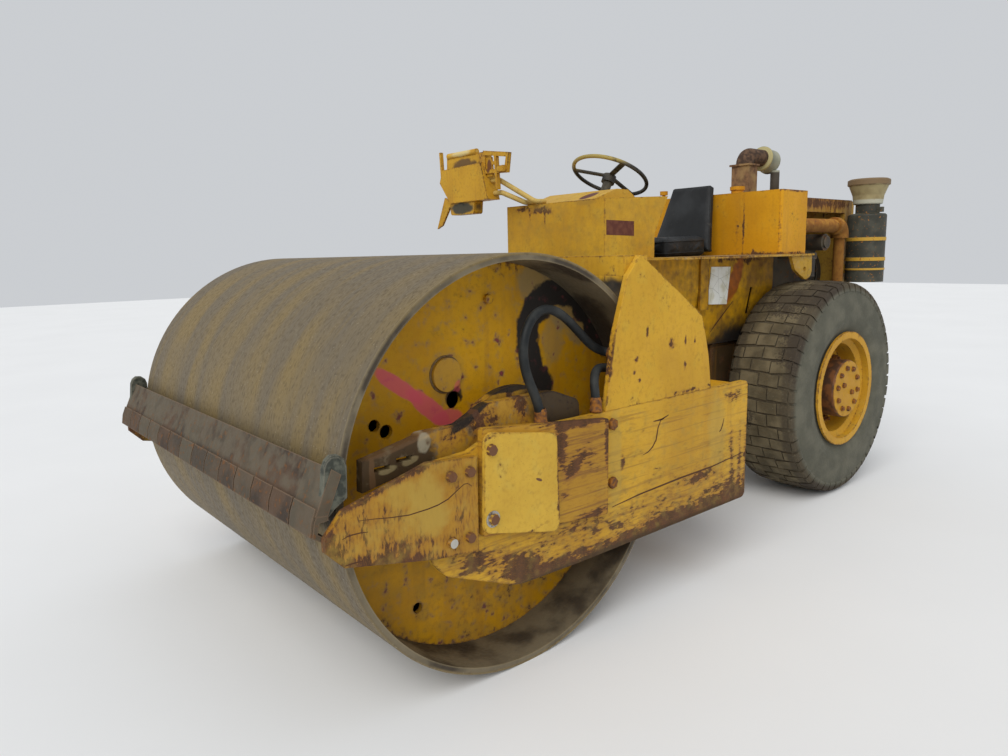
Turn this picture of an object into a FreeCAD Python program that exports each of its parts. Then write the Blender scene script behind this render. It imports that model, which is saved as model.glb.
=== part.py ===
# Single drum road roller, worn and weathered, hinged in the middle.
# Every length is in millimetres. X points to the front, Y to the machine's left, Z up.
# Shapes are drawn from the drum's axle line (x = 0) and the ground (z = 0), and all
# of them are then moved along X together, so that the origin is under the middle.
import FreeCAD
import Part

import math
import os
import re

doc = FreeCAD.newDocument("road_roller")

# Driving dimensions: name, millimetres or degrees, and what the value is.
SIZE_TABLE = (
    ("drum_radius", 762, "smooth drum, outside"),
    ("drum_width", 1980, "smooth drum, end to end"),
    ("shell_wall", 25, "thickness of the drum's rolled shell"),
    ("head_depth", 215, "how far the drum's end plate lies inside its rim"),
    ("head_plate", 20, "thickness of the drum's end plate"),
    ("hub_radius", 170, "bearing hub on the drum's end plate"),
    ("hub_length", 90, "bearing hub, out from the end plate"),
    ("head_cover_radius", 62, "round cover on the drum's end plate"),
    ("head_cover_height", 16, "round cover, out from the end plate"),
    ("stub_radius", 80, "stub axle that carries the drum"),
    ("boss_radius", 140, "round boss that bolts the drum's carrier to the side plate"),
    ("disc_radius", 286, "round rubber mount between the carrier and the drum"),
    ("carrier_wall", 35, "thickness of the drum's carrier plate"),
    ("carrier_gap", 30, "gap between the carrier plate and the side plate"),
    ("stub_gap", 0.3, "running clearance between stub and hub"),
    ("seat_gap", 0.3, "clearance between pieces that seat on each other"),
    ("wheel_base", 2769, "drum axle to wheel axle"),
    ("tyre_radius", 660, "worn tyre, outside"),
    ("tyre_section", 440, "tyre, widest across its sidewalls"),
    ("tread_width", 395, "tyre, across its tread"),
    ("tyre_crown", 12, "how far the tread's edge lies under its middle"),
    ("bead_radius", 322, "inside of the tyre where it sits on the rim"),
    ("flange_radius", 352, "outside of the rim's flange"),
    ("wheel_track", 1290, "middle of one tyre to middle of the other"),
    ("rim_wall", 12, "thickness of the rim's steel"),
    ("rim_width", 430, "rim, flange to flange"),
    ("hub_drum_radius", 178, "planetary hub that stands out of the rim"),
    ("hub_face_radius", 172, "end cap of the planetary hub"),
    ("wheel_nut_circle", 225, "radius of the circle of wheel nuts"),
    ("wheel_nut_radius", 17, "wheel nut, across its corners halved"),
    ("wheel_nut_height", 24, "wheel nut with its stud end"),
    ("plate_inner", 1015, "front frame side plate, inner face from the middle"),
    ("plate_wall", 25, "front frame side plate thickness"),
    ("side_rise", 150, "front frame's top edge above the drum axle"),
    ("beam_clear", 70, "gap between the drum and the beam over it"),
    ("cover_wall", 14, "thin cover plates"),
    ("arm_bolt_radius", 18, "large bolts of the front arms"),
    ("arm_bolt_height", 16, "large bolts of the front arms, out from the plate"),
    ("plate_bolt_radius", 20, "bolts of the side plates and covers"),
    ("plate_bolt_height", 14, "bolts of the side plates and covers, out from the plate"),
    ("hinge_x", 1480, "frame hinge, behind the drum axle"),
    ("hinge_pin_radius", 45, "frame hinge pin"),
    ("hinge_ear_radius", 105, "round end of the hinge ears"),
    ("hinge_ear_wall", 45, "thickness of each hinge ear"),
    ("hinge_low", 420, "underside of the lower pair of hinge ears"),
    ("hinge_high", 760, "underside of the upper pair of hinge ears"),
    ("hinge_gap", 5, "gap between a front and a rear ear"),
    ("deck_top", 1486, "top of the driver's deck"),
    ("deck_wall", 12, "thickness of the deck plate"),
    ("deck_half", 620, "deck's edge from the middle"),
    ("body_half", 410, "side panels' outer face from the middle"),
    ("sheet_wall", 6, "sheet steel of panels and boxes"),
    ("console_half", 373, "console's side from the middle"),
    ("frame_half", 320, "rear frame's side from the middle"),
    ("frame_low", 520, "underside of the rear frame"),
    ("frame_top", 950, "top of the rear frame"),
    ("frame_wall", 20, "plates of the rear frame"),
    ("hood_wall", 8, "top sheet of the engine bay"),
    ("tow_hole_radius", 21, "pin hole of the towing plate"),
    ("tow_wall", 25, "towing plate"),
    ("lift_hole_radius", 14, "hole of the lifting lugs under the deck"),
    ("lift_wall", 20, "lifting lugs under the deck"),
    ("engine_length", 700, "engine block along the machine"),
    ("engine_width", 500, "engine block across"),
    ("engine_height", 620, "engine block"),
    ("tank_left", 600, "fuel tank's left face from the middle"),
    ("tank_right", -600, "fuel tank's right face from the middle"),
    ("tank_front", 2393, "fuel tank's front face, behind the drum axle"),
    ("tank_depth", 303, "fuel tank, front to back"),
    ("tank_height", 378, "fuel tank"),
    ("seat_half", 240, "seat cushion's side from the middle"),
    ("seat_front", 1785, "seat cushion's front edge, behind the drum axle"),
    ("seat_depth", 420, "seat cushion, front to back"),
    ("seat_height", 118, "seat cushion's thickness"),
    ("back_height", 455, "backrest, along its slope"),
    ("back_wall", 55, "backrest's thickness"),
    ("back_recline", 17, "backrest's slope in degrees"),
    ("back_low_half", 235, "backrest's half width at the bottom"),
    ("back_top_half", 155, "backrest's half width at the top"),
    ("steer_wheel_radius", 215, "steering wheel, to the middle of its rim"),
    ("steer_rim_radius", 11, "steering wheel's rim section"),
    ("steer_tilt", 26, "steering wheel's slope in degrees"),
    ("steer_x", 1560, "steering wheel's middle, behind the drum axle"),
    ("steer_z", 1950, "steering wheel's middle above the ground"),
    ("column_radius", 26, "steering column"),
    ("hood_top", 1845, "top of the engine bay above the ground"),
    ("column_height", 250, "exhaust column above the hood"),
    ("pipe_radius", 58, "exhaust elbow"),
    ("muffler_radius", 84, "muffler"),
    ("muffler_length", 380, "muffler"),
    ("muffler_lift", 305, "muffler's axis above the hood"),
    ("cleaner_radius", 123, "air cleaner's body"),
    ("cleaner_x", 3555, "air cleaner's axis, behind the drum axle"),
    ("cleaner_y", 580, "air cleaner's axis from the middle"),
    ("cleaner_low", 1281, "air cleaner's bottom above the ground"),
    ("cylinder_z", 640, "steering cylinders' height above the ground"),
    ("cylinder_radius", 42, "steering cylinder's barrel"),
    ("rod_radius", 22, "steering cylinder's rod"),
    ("eye_radius", 40, "steering cylinder's end eyes"),
    ("eye_wall", 50, "steering cylinder's end eyes, height"),
    ("cylinder_pin_radius", 18, "steering cylinder's pins"),
    ("lug_wall", 18, "plates that hold the cylinders' pins"),
    ("lug_gap", 6, "gap between an eye and the lug plates"),
)

sizes = doc.addObject("Spreadsheet::Sheet", "sizes")
for row, (alias, amount, note) in enumerate(SIZE_TABLE, start=1):
    sizes.set("A%d" % row, alias)
    sizes.set("B%d" % row, str(amount))
    sizes.set("C%d" % row, note)
    sizes.setAlias("B%d" % row, alias)
doc.recompute()

NAME = re.compile(r"[a-z]+(?:_[a-z]+)+")


def bound(formula):
    """Makes a formula of size names readable for an object's expression."""
    return NAME.sub(lambda found: "sizes." + found.group(0), str(formula))


def size(alias):
    return float(sizes.get(alias))


drum_half = size("drum_width") / 2
plate_inner = size("plate_inner")
plate_wall = size("plate_wall")
plate_outer = plate_inner + plate_wall
cover_wall = size("cover_wall")
seat_gap = size("seat_gap")
sheet_wall = size("sheet_wall")
deck_top = size("deck_top")
deck_low = deck_top - size("deck_wall")
hinge_x = -size("hinge_x")
axle_x = -size("wheel_base")
axle_z = size("tyre_radius")
LEFT = 1
RIGHT = -1
SIDES = (("left", LEFT), ("right", RIGHT))

pieces = []


def finish(piece, label):
    """Names a finished piece, which becomes a file of that name."""
    piece.Label = label
    pieces.append(piece)
    return piece


def origin_plane(body, role):
    for feature in body.Origin.OriginFeatures:
        if feature.Role == role:
            return feature
    raise ValueError(role)


def rounded(points):
    """Edges of a closed outline; a point's third number rounds its corner."""
    edges = []
    count = len(points)
    joints = []
    for index in range(count):
        corner = FreeCAD.Vector(points[index][0], points[index][1], 0)
        radius = points[index][2] if len(points[index]) > 2 else 0
        before = FreeCAD.Vector(points[index - 1][0], points[index - 1][1], 0)
        after = FreeCAD.Vector(points[(index + 1) % count][0], points[(index + 1) % count][1], 0)
        if radius == 0:
            joints.append((corner, corner, None))
            continue
        inward = (before - corner).normalize()
        onward = (after - corner).normalize()
        half_angle = inward.getAngle(onward) / 2
        reach = radius / math.tan(half_angle)
        start = corner + inward * reach
        end = corner + onward * reach
        middle = (inward + onward).normalize()
        centre = corner + middle * (radius / math.sin(half_angle))
        joints.append((start, end, centre - middle * radius))
    for index in range(count):
        start, end, peak = joints[index]
        if peak is not None:
            edges.append(Part.Arc(start, peak, end))
        following = joints[(index + 1) % count][0]
        if (following - end).Length > 0.001:
            edges.append(Part.LineSegment(end, following))
    return edges


def sketch_on(body, role, points, holes=()):
    sketch = body.newObject("Sketcher::SketchObject", body.Name + "_outline")
    sketch.AttachmentSupport = (origin_plane(body, role), [""])
    sketch.MapMode = "FlatFace"
    for edge in rounded(points):
        sketch.addGeometry(edge, False)
    for across, up, radius in holes:
        centre = FreeCAD.Vector(across, up, 0)
        sketch.addGeometry(Part.Circle(centre, FreeCAD.Vector(0, 0, 1), radius), False)
    return sketch


def plate(name, role, points, thickness, offset, holes=()):
    """A flat piece cut to an outline. It starts at offset and thickens along +axis."""
    body = doc.addObject("PartDesign::Body", name)
    sketch = sketch_on(body, role, points, holes)
    pad = body.newObject("PartDesign::Pad", name + "_pad")
    pad.Profile = sketch
    pad.setExpression("Length", bound(thickness))
    pad.Reversed = role == "XZ_Plane"
    shift = {"XZ_Plane": (0, offset, 0), "XY_Plane": (0, 0, offset), "YZ_Plane": (offset, 0, 0)}[role]
    body.Placement.Base = FreeCAD.Vector(*shift)
    return body


def turned(name, role, axis, points, centre):
    """A turned piece: its half section revolved about the sketch's axis."""
    body = doc.addObject("PartDesign::Body", name)
    sketch = sketch_on(body, role, points)
    spin = body.newObject("PartDesign::Revolution", name + "_turn")
    spin.Profile = sketch
    spin.ReferenceAxis = (sketch, [axis])
    spin.Angle = 360
    body.Placement.Base = FreeCAD.Vector(*centre)
    return body


def box(name, length, width, height, corner):
    piece = doc.addObject("Part::Box", name)
    piece.setExpression("Length", bound(length))
    piece.setExpression("Width", bound(width))
    piece.setExpression("Height", bound(height))
    piece.Placement.Base = FreeCAD.Vector(*corner)
    return piece


TURN = {
    "x": FreeCAD.Rotation(FreeCAD.Vector(0, 1, 0), 90),
    "y": FreeCAD.Rotation(FreeCAD.Vector(1, 0, 0), -90),
    "z": FreeCAD.Rotation(),
}


def rod(name, radius, length, start, along):
    piece = doc.addObject("Part::Cylinder", name)
    piece.setExpression("Radius", bound(radius))
    piece.setExpression("Height", bound(length))
    piece.Placement = FreeCAD.Placement(FreeCAD.Vector(*start), TURN[along])
    return piece


def hexagon(name, radius, length, start, along):
    """A nut or a bolt's head."""
    piece = doc.addObject("Part::Prism", name)
    piece.Polygon = 6
    piece.setExpression("Circumradius", bound(radius))
    piece.setExpression("Height", bound(length))
    piece.Placement = FreeCAD.Placement(FreeCAD.Vector(*start), TURN[along])
    return piece


def joined(name, members):
    piece = doc.addObject("Part::MultiFuse", name)
    piece.Shapes = members
    piece.Refine = True
    return piece


def apart(name, members):
    """Like pieces in one node: solids that don't touch."""
    piece = doc.addObject("Part::Compound", name)
    piece.Links = members
    return piece


def cut(name, base, tool):
    piece = doc.addObject("Part::Cut", name)
    piece.Base = base
    piece.Tool = tool
    return piece


def pipe(name, radius, points, bend):
    """A round bar or hose along straight runs joined by tangent arcs."""
    route = []
    last = FreeCAD.Vector(*points[0])
    for index in range(1, len(points) - 1):
        corner = FreeCAD.Vector(*points[index])
        inward = (FreeCAD.Vector(*points[index - 1]) - corner).normalize()
        onward = (FreeCAD.Vector(*points[index + 1]) - corner).normalize()
        half_angle = inward.getAngle(onward) / 2
        reach = bend / math.tan(half_angle)
        start = corner + inward * reach
        end = corner + onward * reach
        middle = (inward + onward).normalize()
        peak = corner + middle * (bend / math.sin(half_angle) - bend)
        if (start - last).Length > 0.01:
            route.append(Part.LineSegment(last, start).toShape())
        route.append(Part.Arc(start, peak, end).toShape())
        last = end
    final = FreeCAD.Vector(*points[-1])
    if (final - last).Length > 0.01:
        route.append(Part.LineSegment(last, final).toShape())
    heading = FreeCAD.Vector(*points[1]) - FreeCAD.Vector(*points[0])
    ring = Part.Wire(Part.makeCircle(radius, FreeCAD.Vector(*points[0]), heading))
    piece = doc.addObject("Part::Feature", name)
    piece.Shape = Part.Wire(route).makePipeShell([ring], True, False)
    return piece


def outboard(sign, inner, thickness):
    """Where a plate starts so that it spans inner to inner + thickness on its side."""
    return inner if sign == LEFT else -inner - thickness


# Drum: a rolled steel shell with an end plate, a hub and a round cover set into
# each end. The shell's outside is the radius that rolls on the ground.
drum_radius = size("drum_radius")
shell_inner = drum_radius - size("shell_wall")
head_face = drum_half - size("head_depth")
drum_centre = (0, 0, drum_radius)
shell = turned("shell", "YZ_Plane", "H_Axis", (
    (-drum_half, shell_inner), (drum_half, shell_inner),
    (drum_half, drum_radius), (-drum_half, drum_radius),
), drum_centre)
finish(shell, "drum_shell")

# Spots on the end plates, forward of the axle and above it: round covers, then holes
# with their radius.
COVER_SPOTS = ((195, 335), (-195, -335))
HOLE_SPOTS = ((160, 236, 33), (496, 195, 22), (451, 167, 25), (355, -509, 20), (-160, -236, 33))
PLUG_SPOT = (-7, 595)
PLUG_RADIUS = 18
heads = []
for side, sign in SIDES:
    inner_face = head_face - size("head_plate")
    hub_face = head_face + size("hub_length")
    bore = size("stub_radius") + size("stub_gap")
    half_section = [
        (inner_face, bore), (hub_face, bore), (hub_face, size("hub_radius"), 8),
        (head_face, size("hub_radius"), 12), (head_face, shell_inner), (inner_face, shell_inner),
    ]
    head = turned("head_disc_" + side, "YZ_Plane", "H_Axis",
                  [(sign * row[0],) + tuple(row[1:]) for row in half_section], drum_centre)
    covers = [head]
    start = outboard(sign, head_face - seat_gap, size("head_cover_height") + seat_gap)
    for number, (forward, up) in enumerate(COVER_SPOTS):
        covers.append(rod("head_cover_%s_%d" % (side, number), "head_cover_radius",
                          "head_cover_height + seat_gap", (forward, start, drum_radius + up), "y"))
    covers.append(rod("head_plug_" + side, PLUG_RADIUS, "head_cover_height + seat_gap",
                      (PLUG_SPOT[0], start, drum_radius + PLUG_SPOT[1]), "y"))
    holes = []
    for number, (forward, up, radius) in enumerate(HOLE_SPOTS):
        holes.append(rod("head_hole_%s_%d" % (side, number), radius, 3 * size("head_plate"),
                         (forward, outboard(sign, head_face - 2 * size("head_plate"), 3 * size("head_plate")),
                          drum_radius + up), "y"))
    heads.append(cut("head_" + side, joined("head_solid_" + side, covers),
                     joined("head_holes_" + side, holes)))
finish(apart("heads", heads), "drum_heads")

# Front frame: two side plates, each with a drum housing under a cover, a bolted
# front arm, a tower and a carrier for the drum; cross beams join them behind and
# over the drum. Heights are given from the drum's axle, and lengths of the arms from
# the drum's front.


def by_axle(points):
    """Outline points given forward of the drum's axle and above it."""
    return [(row[0], drum_radius + row[1]) + tuple(row[2:]) for row in points]


def by_front(points):
    """Outline points given forward of the drum's front and above its axle."""
    return [(drum_radius + row[0], drum_radius + row[1]) + tuple(row[2:]) for row in points]


side_top = drum_radius + size("side_rise")
SIDE_LOW = 342
REAR_BOX_FRONT = -1000
REAR_BOX_BACK = -1363
REAR_BOX_LOW = 360
rear_box_top = side_top - 22
side_outline = by_front(((-298, -217, 25), (-356, -284, 60)))
side_outline += by_axle(((98, -412, 200), (-215, -420, 400)))
side_outline += [(REAR_BOX_BACK, SIDE_LOW, 30), (REAR_BOX_BACK, side_top, 30), (218, side_top)]
side_outline += by_front(((-462, 118), (-292, 108)))
HOUSING_OUTLINE = ((268, -178, 10), (-352, -252, 10), (-356, 130, 10), (262, 195, 10))
COVER_OUTLINE = ((274, -160, 32), (-78, -244, 32), (-65, 127, 32), (262, 184, 32))
COVER_BOLTS = ((239, 121), (237, -118))
PLATE_BOLTS = ((-402, 96), (-402, -140))
ARM_OUTLINE = (
    (78, -34), (16, 37, 15), (-286, 121), (-475, 106), (-473, -218), (-302, -200), (21, -132), (77, -73),
)
# How far a bolt's head starts below the face it stands on.
SINK = 2
ARM_BOLTS = ((-366, 61), (-441, 62), (-435, -161), (-362, -160))
# Carrier plate with its hump round the axle, and the slotted channel in front of it.
CARRIER_OUTLINE = (
    (-290, -200, 40), (450, -200, 40), (471, 130, 15), (471, 198, 25), (300, 200, 60), (177, 256, 60),
    (-142, 256, 60), (-276, 205, 40),
)
CHANNEL_OUTLINE = ((-301, 90), (-301, 188), (-98, 146), (-93, 48))
CHANNEL_SLOTS = ((-276, 118), (-195, 104))
SLOT_LENGTH = 58
SLOT_HEIGHT = 16
beam_top = 2 * drum_radius - 19
beam_low = 2 * drum_radius - 97
beam_front = -math.sqrt((drum_radius + size("beam_clear")) ** 2 - (beam_low - drum_radius) ** 2)
beam_back = beam_front - 140
tower_foot = side_top + seat_gap
tower_outline = (
    (394 - drum_radius, tower_foot), (382 - drum_radius, tower_foot + 75),
    (343 - drum_radius, tower_foot + 292), (beam_front + 7, beam_low), (beam_front - 64, beam_top),
    (beam_back - 20, beam_top, 40), (-982, beam_top - 254, 60), (-1041, tower_foot + 155, 120),
    (-1063, tower_foot),
)
housing_inner = plate_outer + seat_gap
cover_inner = housing_inner + plate_wall + seat_gap
mains = []
towers = []
housings = []
housing_covers = []
arms = []
carriers = []
bolt_height = size("plate_bolt_height")
for side, sign in SIDES:
    side_parts = [plate("side_" + side, "XZ_Plane", side_outline, "plate_wall",
                        outboard(sign, plate_inner, plate_wall))]
    for number, (forward, up) in enumerate(by_axle(PLATE_BOLTS)):
        start = outboard(sign, plate_outer - SINK, bolt_height + SINK)
        side_parts.append(hexagon("plate_bolt_%s_%d" % (side, number), "plate_bolt_radius",
                                  bolt_height + SINK, (forward, start, up), "y"))
    mains.append(joined("main_" + side, side_parts))
    towers.append(plate("tower_" + side, "XZ_Plane", tower_outline, "plate_wall",
                        outboard(sign, plate_inner, plate_wall)))
    housings.append(plate("housing_" + side, "XZ_Plane", by_axle(HOUSING_OUTLINE), "plate_wall",
                          outboard(sign, housing_inner, plate_wall)))
    cover_parts = [plate("cover_plate_" + side, "XZ_Plane", by_axle(COVER_OUTLINE), "cover_wall",
                         outboard(sign, cover_inner, cover_wall))]
    for number, (forward, up) in enumerate(by_axle(COVER_BOLTS)):
        start = outboard(sign, cover_inner + cover_wall - SINK, bolt_height + SINK)
        cover_parts.append(hexagon("cover_bolt_%s_%d" % (side, number), "plate_bolt_radius",
                                   bolt_height + SINK, (forward, start, up), "y"))
    housing_covers.append(joined("cover_" + side, cover_parts))
    arm_parts = [plate("arm_plate_" + side, "XZ_Plane", by_front(ARM_OUTLINE), "plate_wall",
                       outboard(sign, housing_inner, plate_wall))]
    for number, (forward, up) in enumerate(by_front(ARM_BOLTS)):
        start = outboard(sign, cover_inner - 2 * seat_gap, size("arm_bolt_height"))
        arm_parts.append(hexagon("arm_bolt_%s_%d" % (side, number), "arm_bolt_radius",
                                 "arm_bolt_height", (forward, start, up), "y"))
    arms.append(joined("arm_" + side, arm_parts))
    # Carrier: a plate with a boss to the side plate and a journal into the drum's hub.
    journal_end = head_face + 10
    boss_outer = plate_inner - seat_gap
    carrier_outer = plate_inner - size("carrier_gap")
    carrier_inner = carrier_outer - size("carrier_wall")
    disc_outer = carrier_inner - 25
    disc_inner = disc_outer - size("carrier_wall")
    journal = turned("journal_" + side, "YZ_Plane", "H_Axis", [(sign * along, out) for along, out in (
        (boss_outer, 0), (journal_end, 0), (journal_end, size("stub_radius")),
        (disc_inner, size("stub_radius")), (disc_inner, size("disc_radius")),
        (disc_outer, size("disc_radius")), (disc_outer, size("boss_radius")),
        (boss_outer, size("boss_radius")),
    )], drum_centre)
    hump = plate("hump_" + side, "XZ_Plane", by_axle(CARRIER_OUTLINE), "carrier_wall",
                 outboard(sign, carrier_inner, size("carrier_wall")))
    channel = plate("channel_" + side, "XZ_Plane", by_front(CHANNEL_OUTLINE), "carrier_wall",
                    outboard(sign, carrier_inner, size("carrier_wall")))
    slots = []
    for number, (forward, up) in enumerate(by_front(CHANNEL_SLOTS)):
        slots.append(box("channel_slot_%s_%d" % (side, number), SLOT_LENGTH, "2 * carrier_wall", SLOT_HEIGHT,
                         (forward, outboard(sign, carrier_inner - 10, 2 * size("carrier_wall")), up)))
    carriers.append(cut("carrier_" + side, joined("carrier_solid_" + side, [journal, hump, channel]),
                        joined("channel_slots_" + side, slots)))
finish(apart("mains", mains), "side_plates")
finish(apart("towers", towers), "tower_plates")
finish(apart("housings", housings), "drum_housings")
finish(apart("housing_cover_pair", housing_covers), "housing_covers")
finish(apart("arms", arms), "front_arms")
finish(apart("carriers", carriers), "drum_carriers")

beam_width = 2 * (plate_inner - seat_gap)
beam = plate("beam", "YZ_Plane", (
    (-beam_width / 2, beam_low), (beam_width / 2, beam_low),
    (beam_width / 2, beam_top), (-beam_width / 2, beam_top),
), beam_front - beam_back, beam_back)
finish(beam, "tower_cross_beam")

# Rear cross member: a box with the front ears of the frame hinge, their pins and the
# plates for the steering cylinders' rods.
WELD = 5
EAR_SPREAD = 60
ear_wall = size("hinge_ear_wall")
ear_radius = size("hinge_ear_radius")
pin_radius = size("hinge_pin_radius")
rear_box = plate("rear_box", "XZ_Plane", (
    (REAR_BOX_FRONT, REAR_BOX_LOW + 120, 40), (REAR_BOX_FRONT, rear_box_top), (REAR_BOX_BACK, rear_box_top),
    (REAR_BOX_BACK, REAR_BOX_LOW), (REAR_BOX_FRONT - 120, REAR_BOX_LOW, 40),
), beam_width, -beam_width / 2)
hinge_levels = (size("hinge_low"), size("hinge_high"))
PIN_STANDOUT = 30
front_ears = [rear_box]
for number, level in enumerate(hinge_levels):
    front_ears.append(plate("front_ear_%d" % number, "XY_Plane", (
        (REAR_BOX_BACK + WELD, -ear_radius - EAR_SPREAD), (REAR_BOX_BACK + WELD, ear_radius + EAR_SPREAD),
        (hinge_x - ear_radius, ear_radius, ear_radius - 1),
        (hinge_x - ear_radius, -ear_radius, ear_radius - 1),
    ), "hinge_ear_wall", level))
    pin_length = 2 * ear_wall + size("hinge_gap") + PIN_STANDOUT
    front_ears.append(rod("hinge_pin_%d" % number, "hinge_pin_radius", pin_length,
                          (hinge_x, 0, level), "z"))
eye_half = size("eye_wall") / 2
lug_wall = size("lug_wall")
lug_gap = size("lug_gap")
lug_lifts = (eye_half + lug_gap, -eye_half - lug_gap - lug_wall)
cylinder_z = size("cylinder_z")
ROD_PIN = (-1450, 260)
BARREL_PIN = (-2060, 200)
LUG_REACH = 45
LUG_ROOT_HALF = 70
for side, sign in SIDES:
    for number, lift in enumerate(lug_lifts):
        front_ears.append(plate("rod_lug_%s_%d" % (side, number), "XY_Plane", (
            (REAR_BOX_BACK + WELD, sign * ROD_PIN[1] - LUG_ROOT_HALF),
            (REAR_BOX_BACK + WELD, sign * ROD_PIN[1] + LUG_ROOT_HALF),
            (ROD_PIN[0] - LUG_REACH, sign * ROD_PIN[1] + LUG_REACH - 5, 38),
            (ROD_PIN[0] - LUG_REACH, sign * ROD_PIN[1] - LUG_REACH + 5, 38),
        ), "lug_wall", cylinder_z + lift))
finish(joined("rear_cross", front_ears), "rear_cross_member")

# Scraper: a bent beam across the drum's front, hung between the front arms, with a
# sloping blade over it and a row of bolted wear segments on its face.
BEAM_SECTION = (
    (38, -70), (102, -29), (95, 14), (87, 32), (50, 28), (50, 14), (79, 12), (86, -20), (38, -54),
)
BLADE_SECTION = ((89, 32.3), (31, 163), (1, 140), (50, 28.3))
SEGMENT_SECTION = (
    (102.4, -26), (108, -25), (101.5, 16), (86, 56), (80, 50), (88, 33.5), (95.4, 14.5),
)
SEGMENT_COUNT = 14
SEGMENT_GAP = 9
scraper_half = plate_outer
scraper = plate("scraper", "XZ_Plane", by_front(BEAM_SECTION), 2 * scraper_half, -scraper_half)
finish(scraper, "scraper_beam")
segment_pitch = 2 * scraper_half / SEGMENT_COUNT
blade_parts = [plate("blade", "XZ_Plane", by_front(BLADE_SECTION), 2 * scraper_half, -scraper_half)]
for number in range(SEGMENT_COUNT):
    blade_parts.append(plate("segment_%d" % number, "XZ_Plane", by_front(SEGMENT_SECTION),
                             segment_pitch - SEGMENT_GAP,
                             -scraper_half + number * segment_pitch + SEGMENT_GAP / 2))
finish(joined("blades", blade_parts), "scraper_blades")

# Hoses of the drum's drive: they rise from the left side plate's top edge past the
# round mount and end on the tower's inner face.
HOSE_RADIUS = 18
HOSE_LINE = plate_outer - HOSE_RADIUS - 1.5
hose_start = side_top + seat_gap
hose_end = plate_inner - seat_gap
hose_lane = plate_inner - 80
hose_x = 292 - drum_radius
hose_high = drum_radius + 363
hose_low = drum_radius + 300
# Each hose: the radius of its bends, then its route.
HOSE_ROUTES = (
    (60, ((-43, HOSE_LINE, hose_start), (-43, HOSE_LINE, side_top + 95), (30, 1017, drum_radius + 400),
          (-55, 1005, drum_radius + 528), (-164, 990, drum_radius + 528), (hose_x, hose_lane, hose_high),
          (hose_x, hose_end, hose_high))),
    (40, ((-333, HOSE_LINE, hose_start), (-333, HOSE_LINE, drum_radius + 270), (hose_x, hose_lane, hose_low),
          (hose_x, hose_end, hose_low))),
)
hoses = []
for number, (bend, route) in enumerate(HOSE_ROUTES):
    hoses.append(pipe("hose_%d" % number, HOSE_RADIUS, route, bend))
finish(apart("hoses", hoses), "drive_hoses")

# Wheels: worn block tyres on steel rims. Each rim is bolted to a planetary hub that
# stands out of it as far as the rim's outer flange.
half_track = size("wheel_track") / 2
bead_radius = size("bead_radius")
rim_half = size("rim_width") / 2
tread_half = size("tread_width") / 2
section_half = size("tyre_section") / 2
tyre_radius = size("tyre_radius")
flange_radius = size("flange_radius")
shoulder_radius = tyre_radius - size("tyre_crown")
bead_half = rim_half - 26
rim_wall = size("rim_wall")
base_radius = bead_radius - seat_gap
disc_out = 40
HUB_BORE = 75
NUT_COUNT = 12
hub_out = rim_half + 8
for side, sign in SIDES:
    centre = (axle_x, sign * half_track, axle_z)
    tyre_section = (
        (-bead_half, bead_radius), (bead_half, bead_radius), (bead_half, flange_radius + 8),
        (section_half, flange_radius + 50, 20), (section_half, shoulder_radius - 90, 70),
        (tread_half, shoulder_radius, 14), (tread_half / 2, tyre_radius, 250),
        (-tread_half / 2, tyre_radius, 250), (-tread_half, shoulder_radius, 14),
        (-section_half, shoulder_radius - 90, 70), (-section_half, flange_radius + 50, 20),
        (-bead_half, flange_radius + 8),
    )
    tyre = turned("tyre_ring_" + side, "YZ_Plane", "H_Axis", tyre_section, centre)
    finish(tyre, "tyre_" + side)
    rim_section = [
        (-rim_half, flange_radius), (-rim_half, base_radius - rim_wall),
        (disc_out - 10, base_radius - 40), (disc_out - 10, 100),
        (disc_out + 10, 100), (disc_out + 10, base_radius - 45),
        (rim_half - 60, base_radius - 45), (rim_half - 40, base_radius - rim_wall),
        (rim_half, base_radius - rim_wall),
        (rim_half, flange_radius), (rim_half - 14, flange_radius),
        (rim_half - 20, base_radius), (20 - rim_half, base_radius), (14 - rim_half, flange_radius),
    ]
    rim = turned("rim_ring_" + side, "YZ_Plane", "H_Axis",
                 [(sign * along, out) for along, out in rim_section], centre)
    hub_section = [
        (disc_out + 5, HUB_BORE), (hub_out - 40, HUB_BORE), (hub_out - 40, 0), (hub_out, 0),
        (hub_out, size("hub_face_radius")), (hub_out - 12, size("hub_drum_radius")),
        (disc_out + 5, size("hub_drum_radius")),
    ]
    hub = turned("hub_" + side, "YZ_Plane", "H_Axis",
                 [(sign * along, out) for along, out in hub_section], centre)
    members = [rim, hub]
    for number in range(NUT_COUNT):
        turn = 2 * math.pi * (number + 0.5) / NUT_COUNT
        out = size("wheel_nut_circle")
        start = centre[1] + sign * (disc_out + 5)
        if sign == RIGHT:
            start = start - size("wheel_nut_height")
        members.append(hexagon("nut_%s_%d" % (side, number), "wheel_nut_radius", "wheel_nut_height",
                               (axle_x + out * math.cos(turn), start, axle_z + out * math.sin(turn)), "y"))
    finish(joined("wheel_" + side, members), "wheel_rim_" + side)

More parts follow.
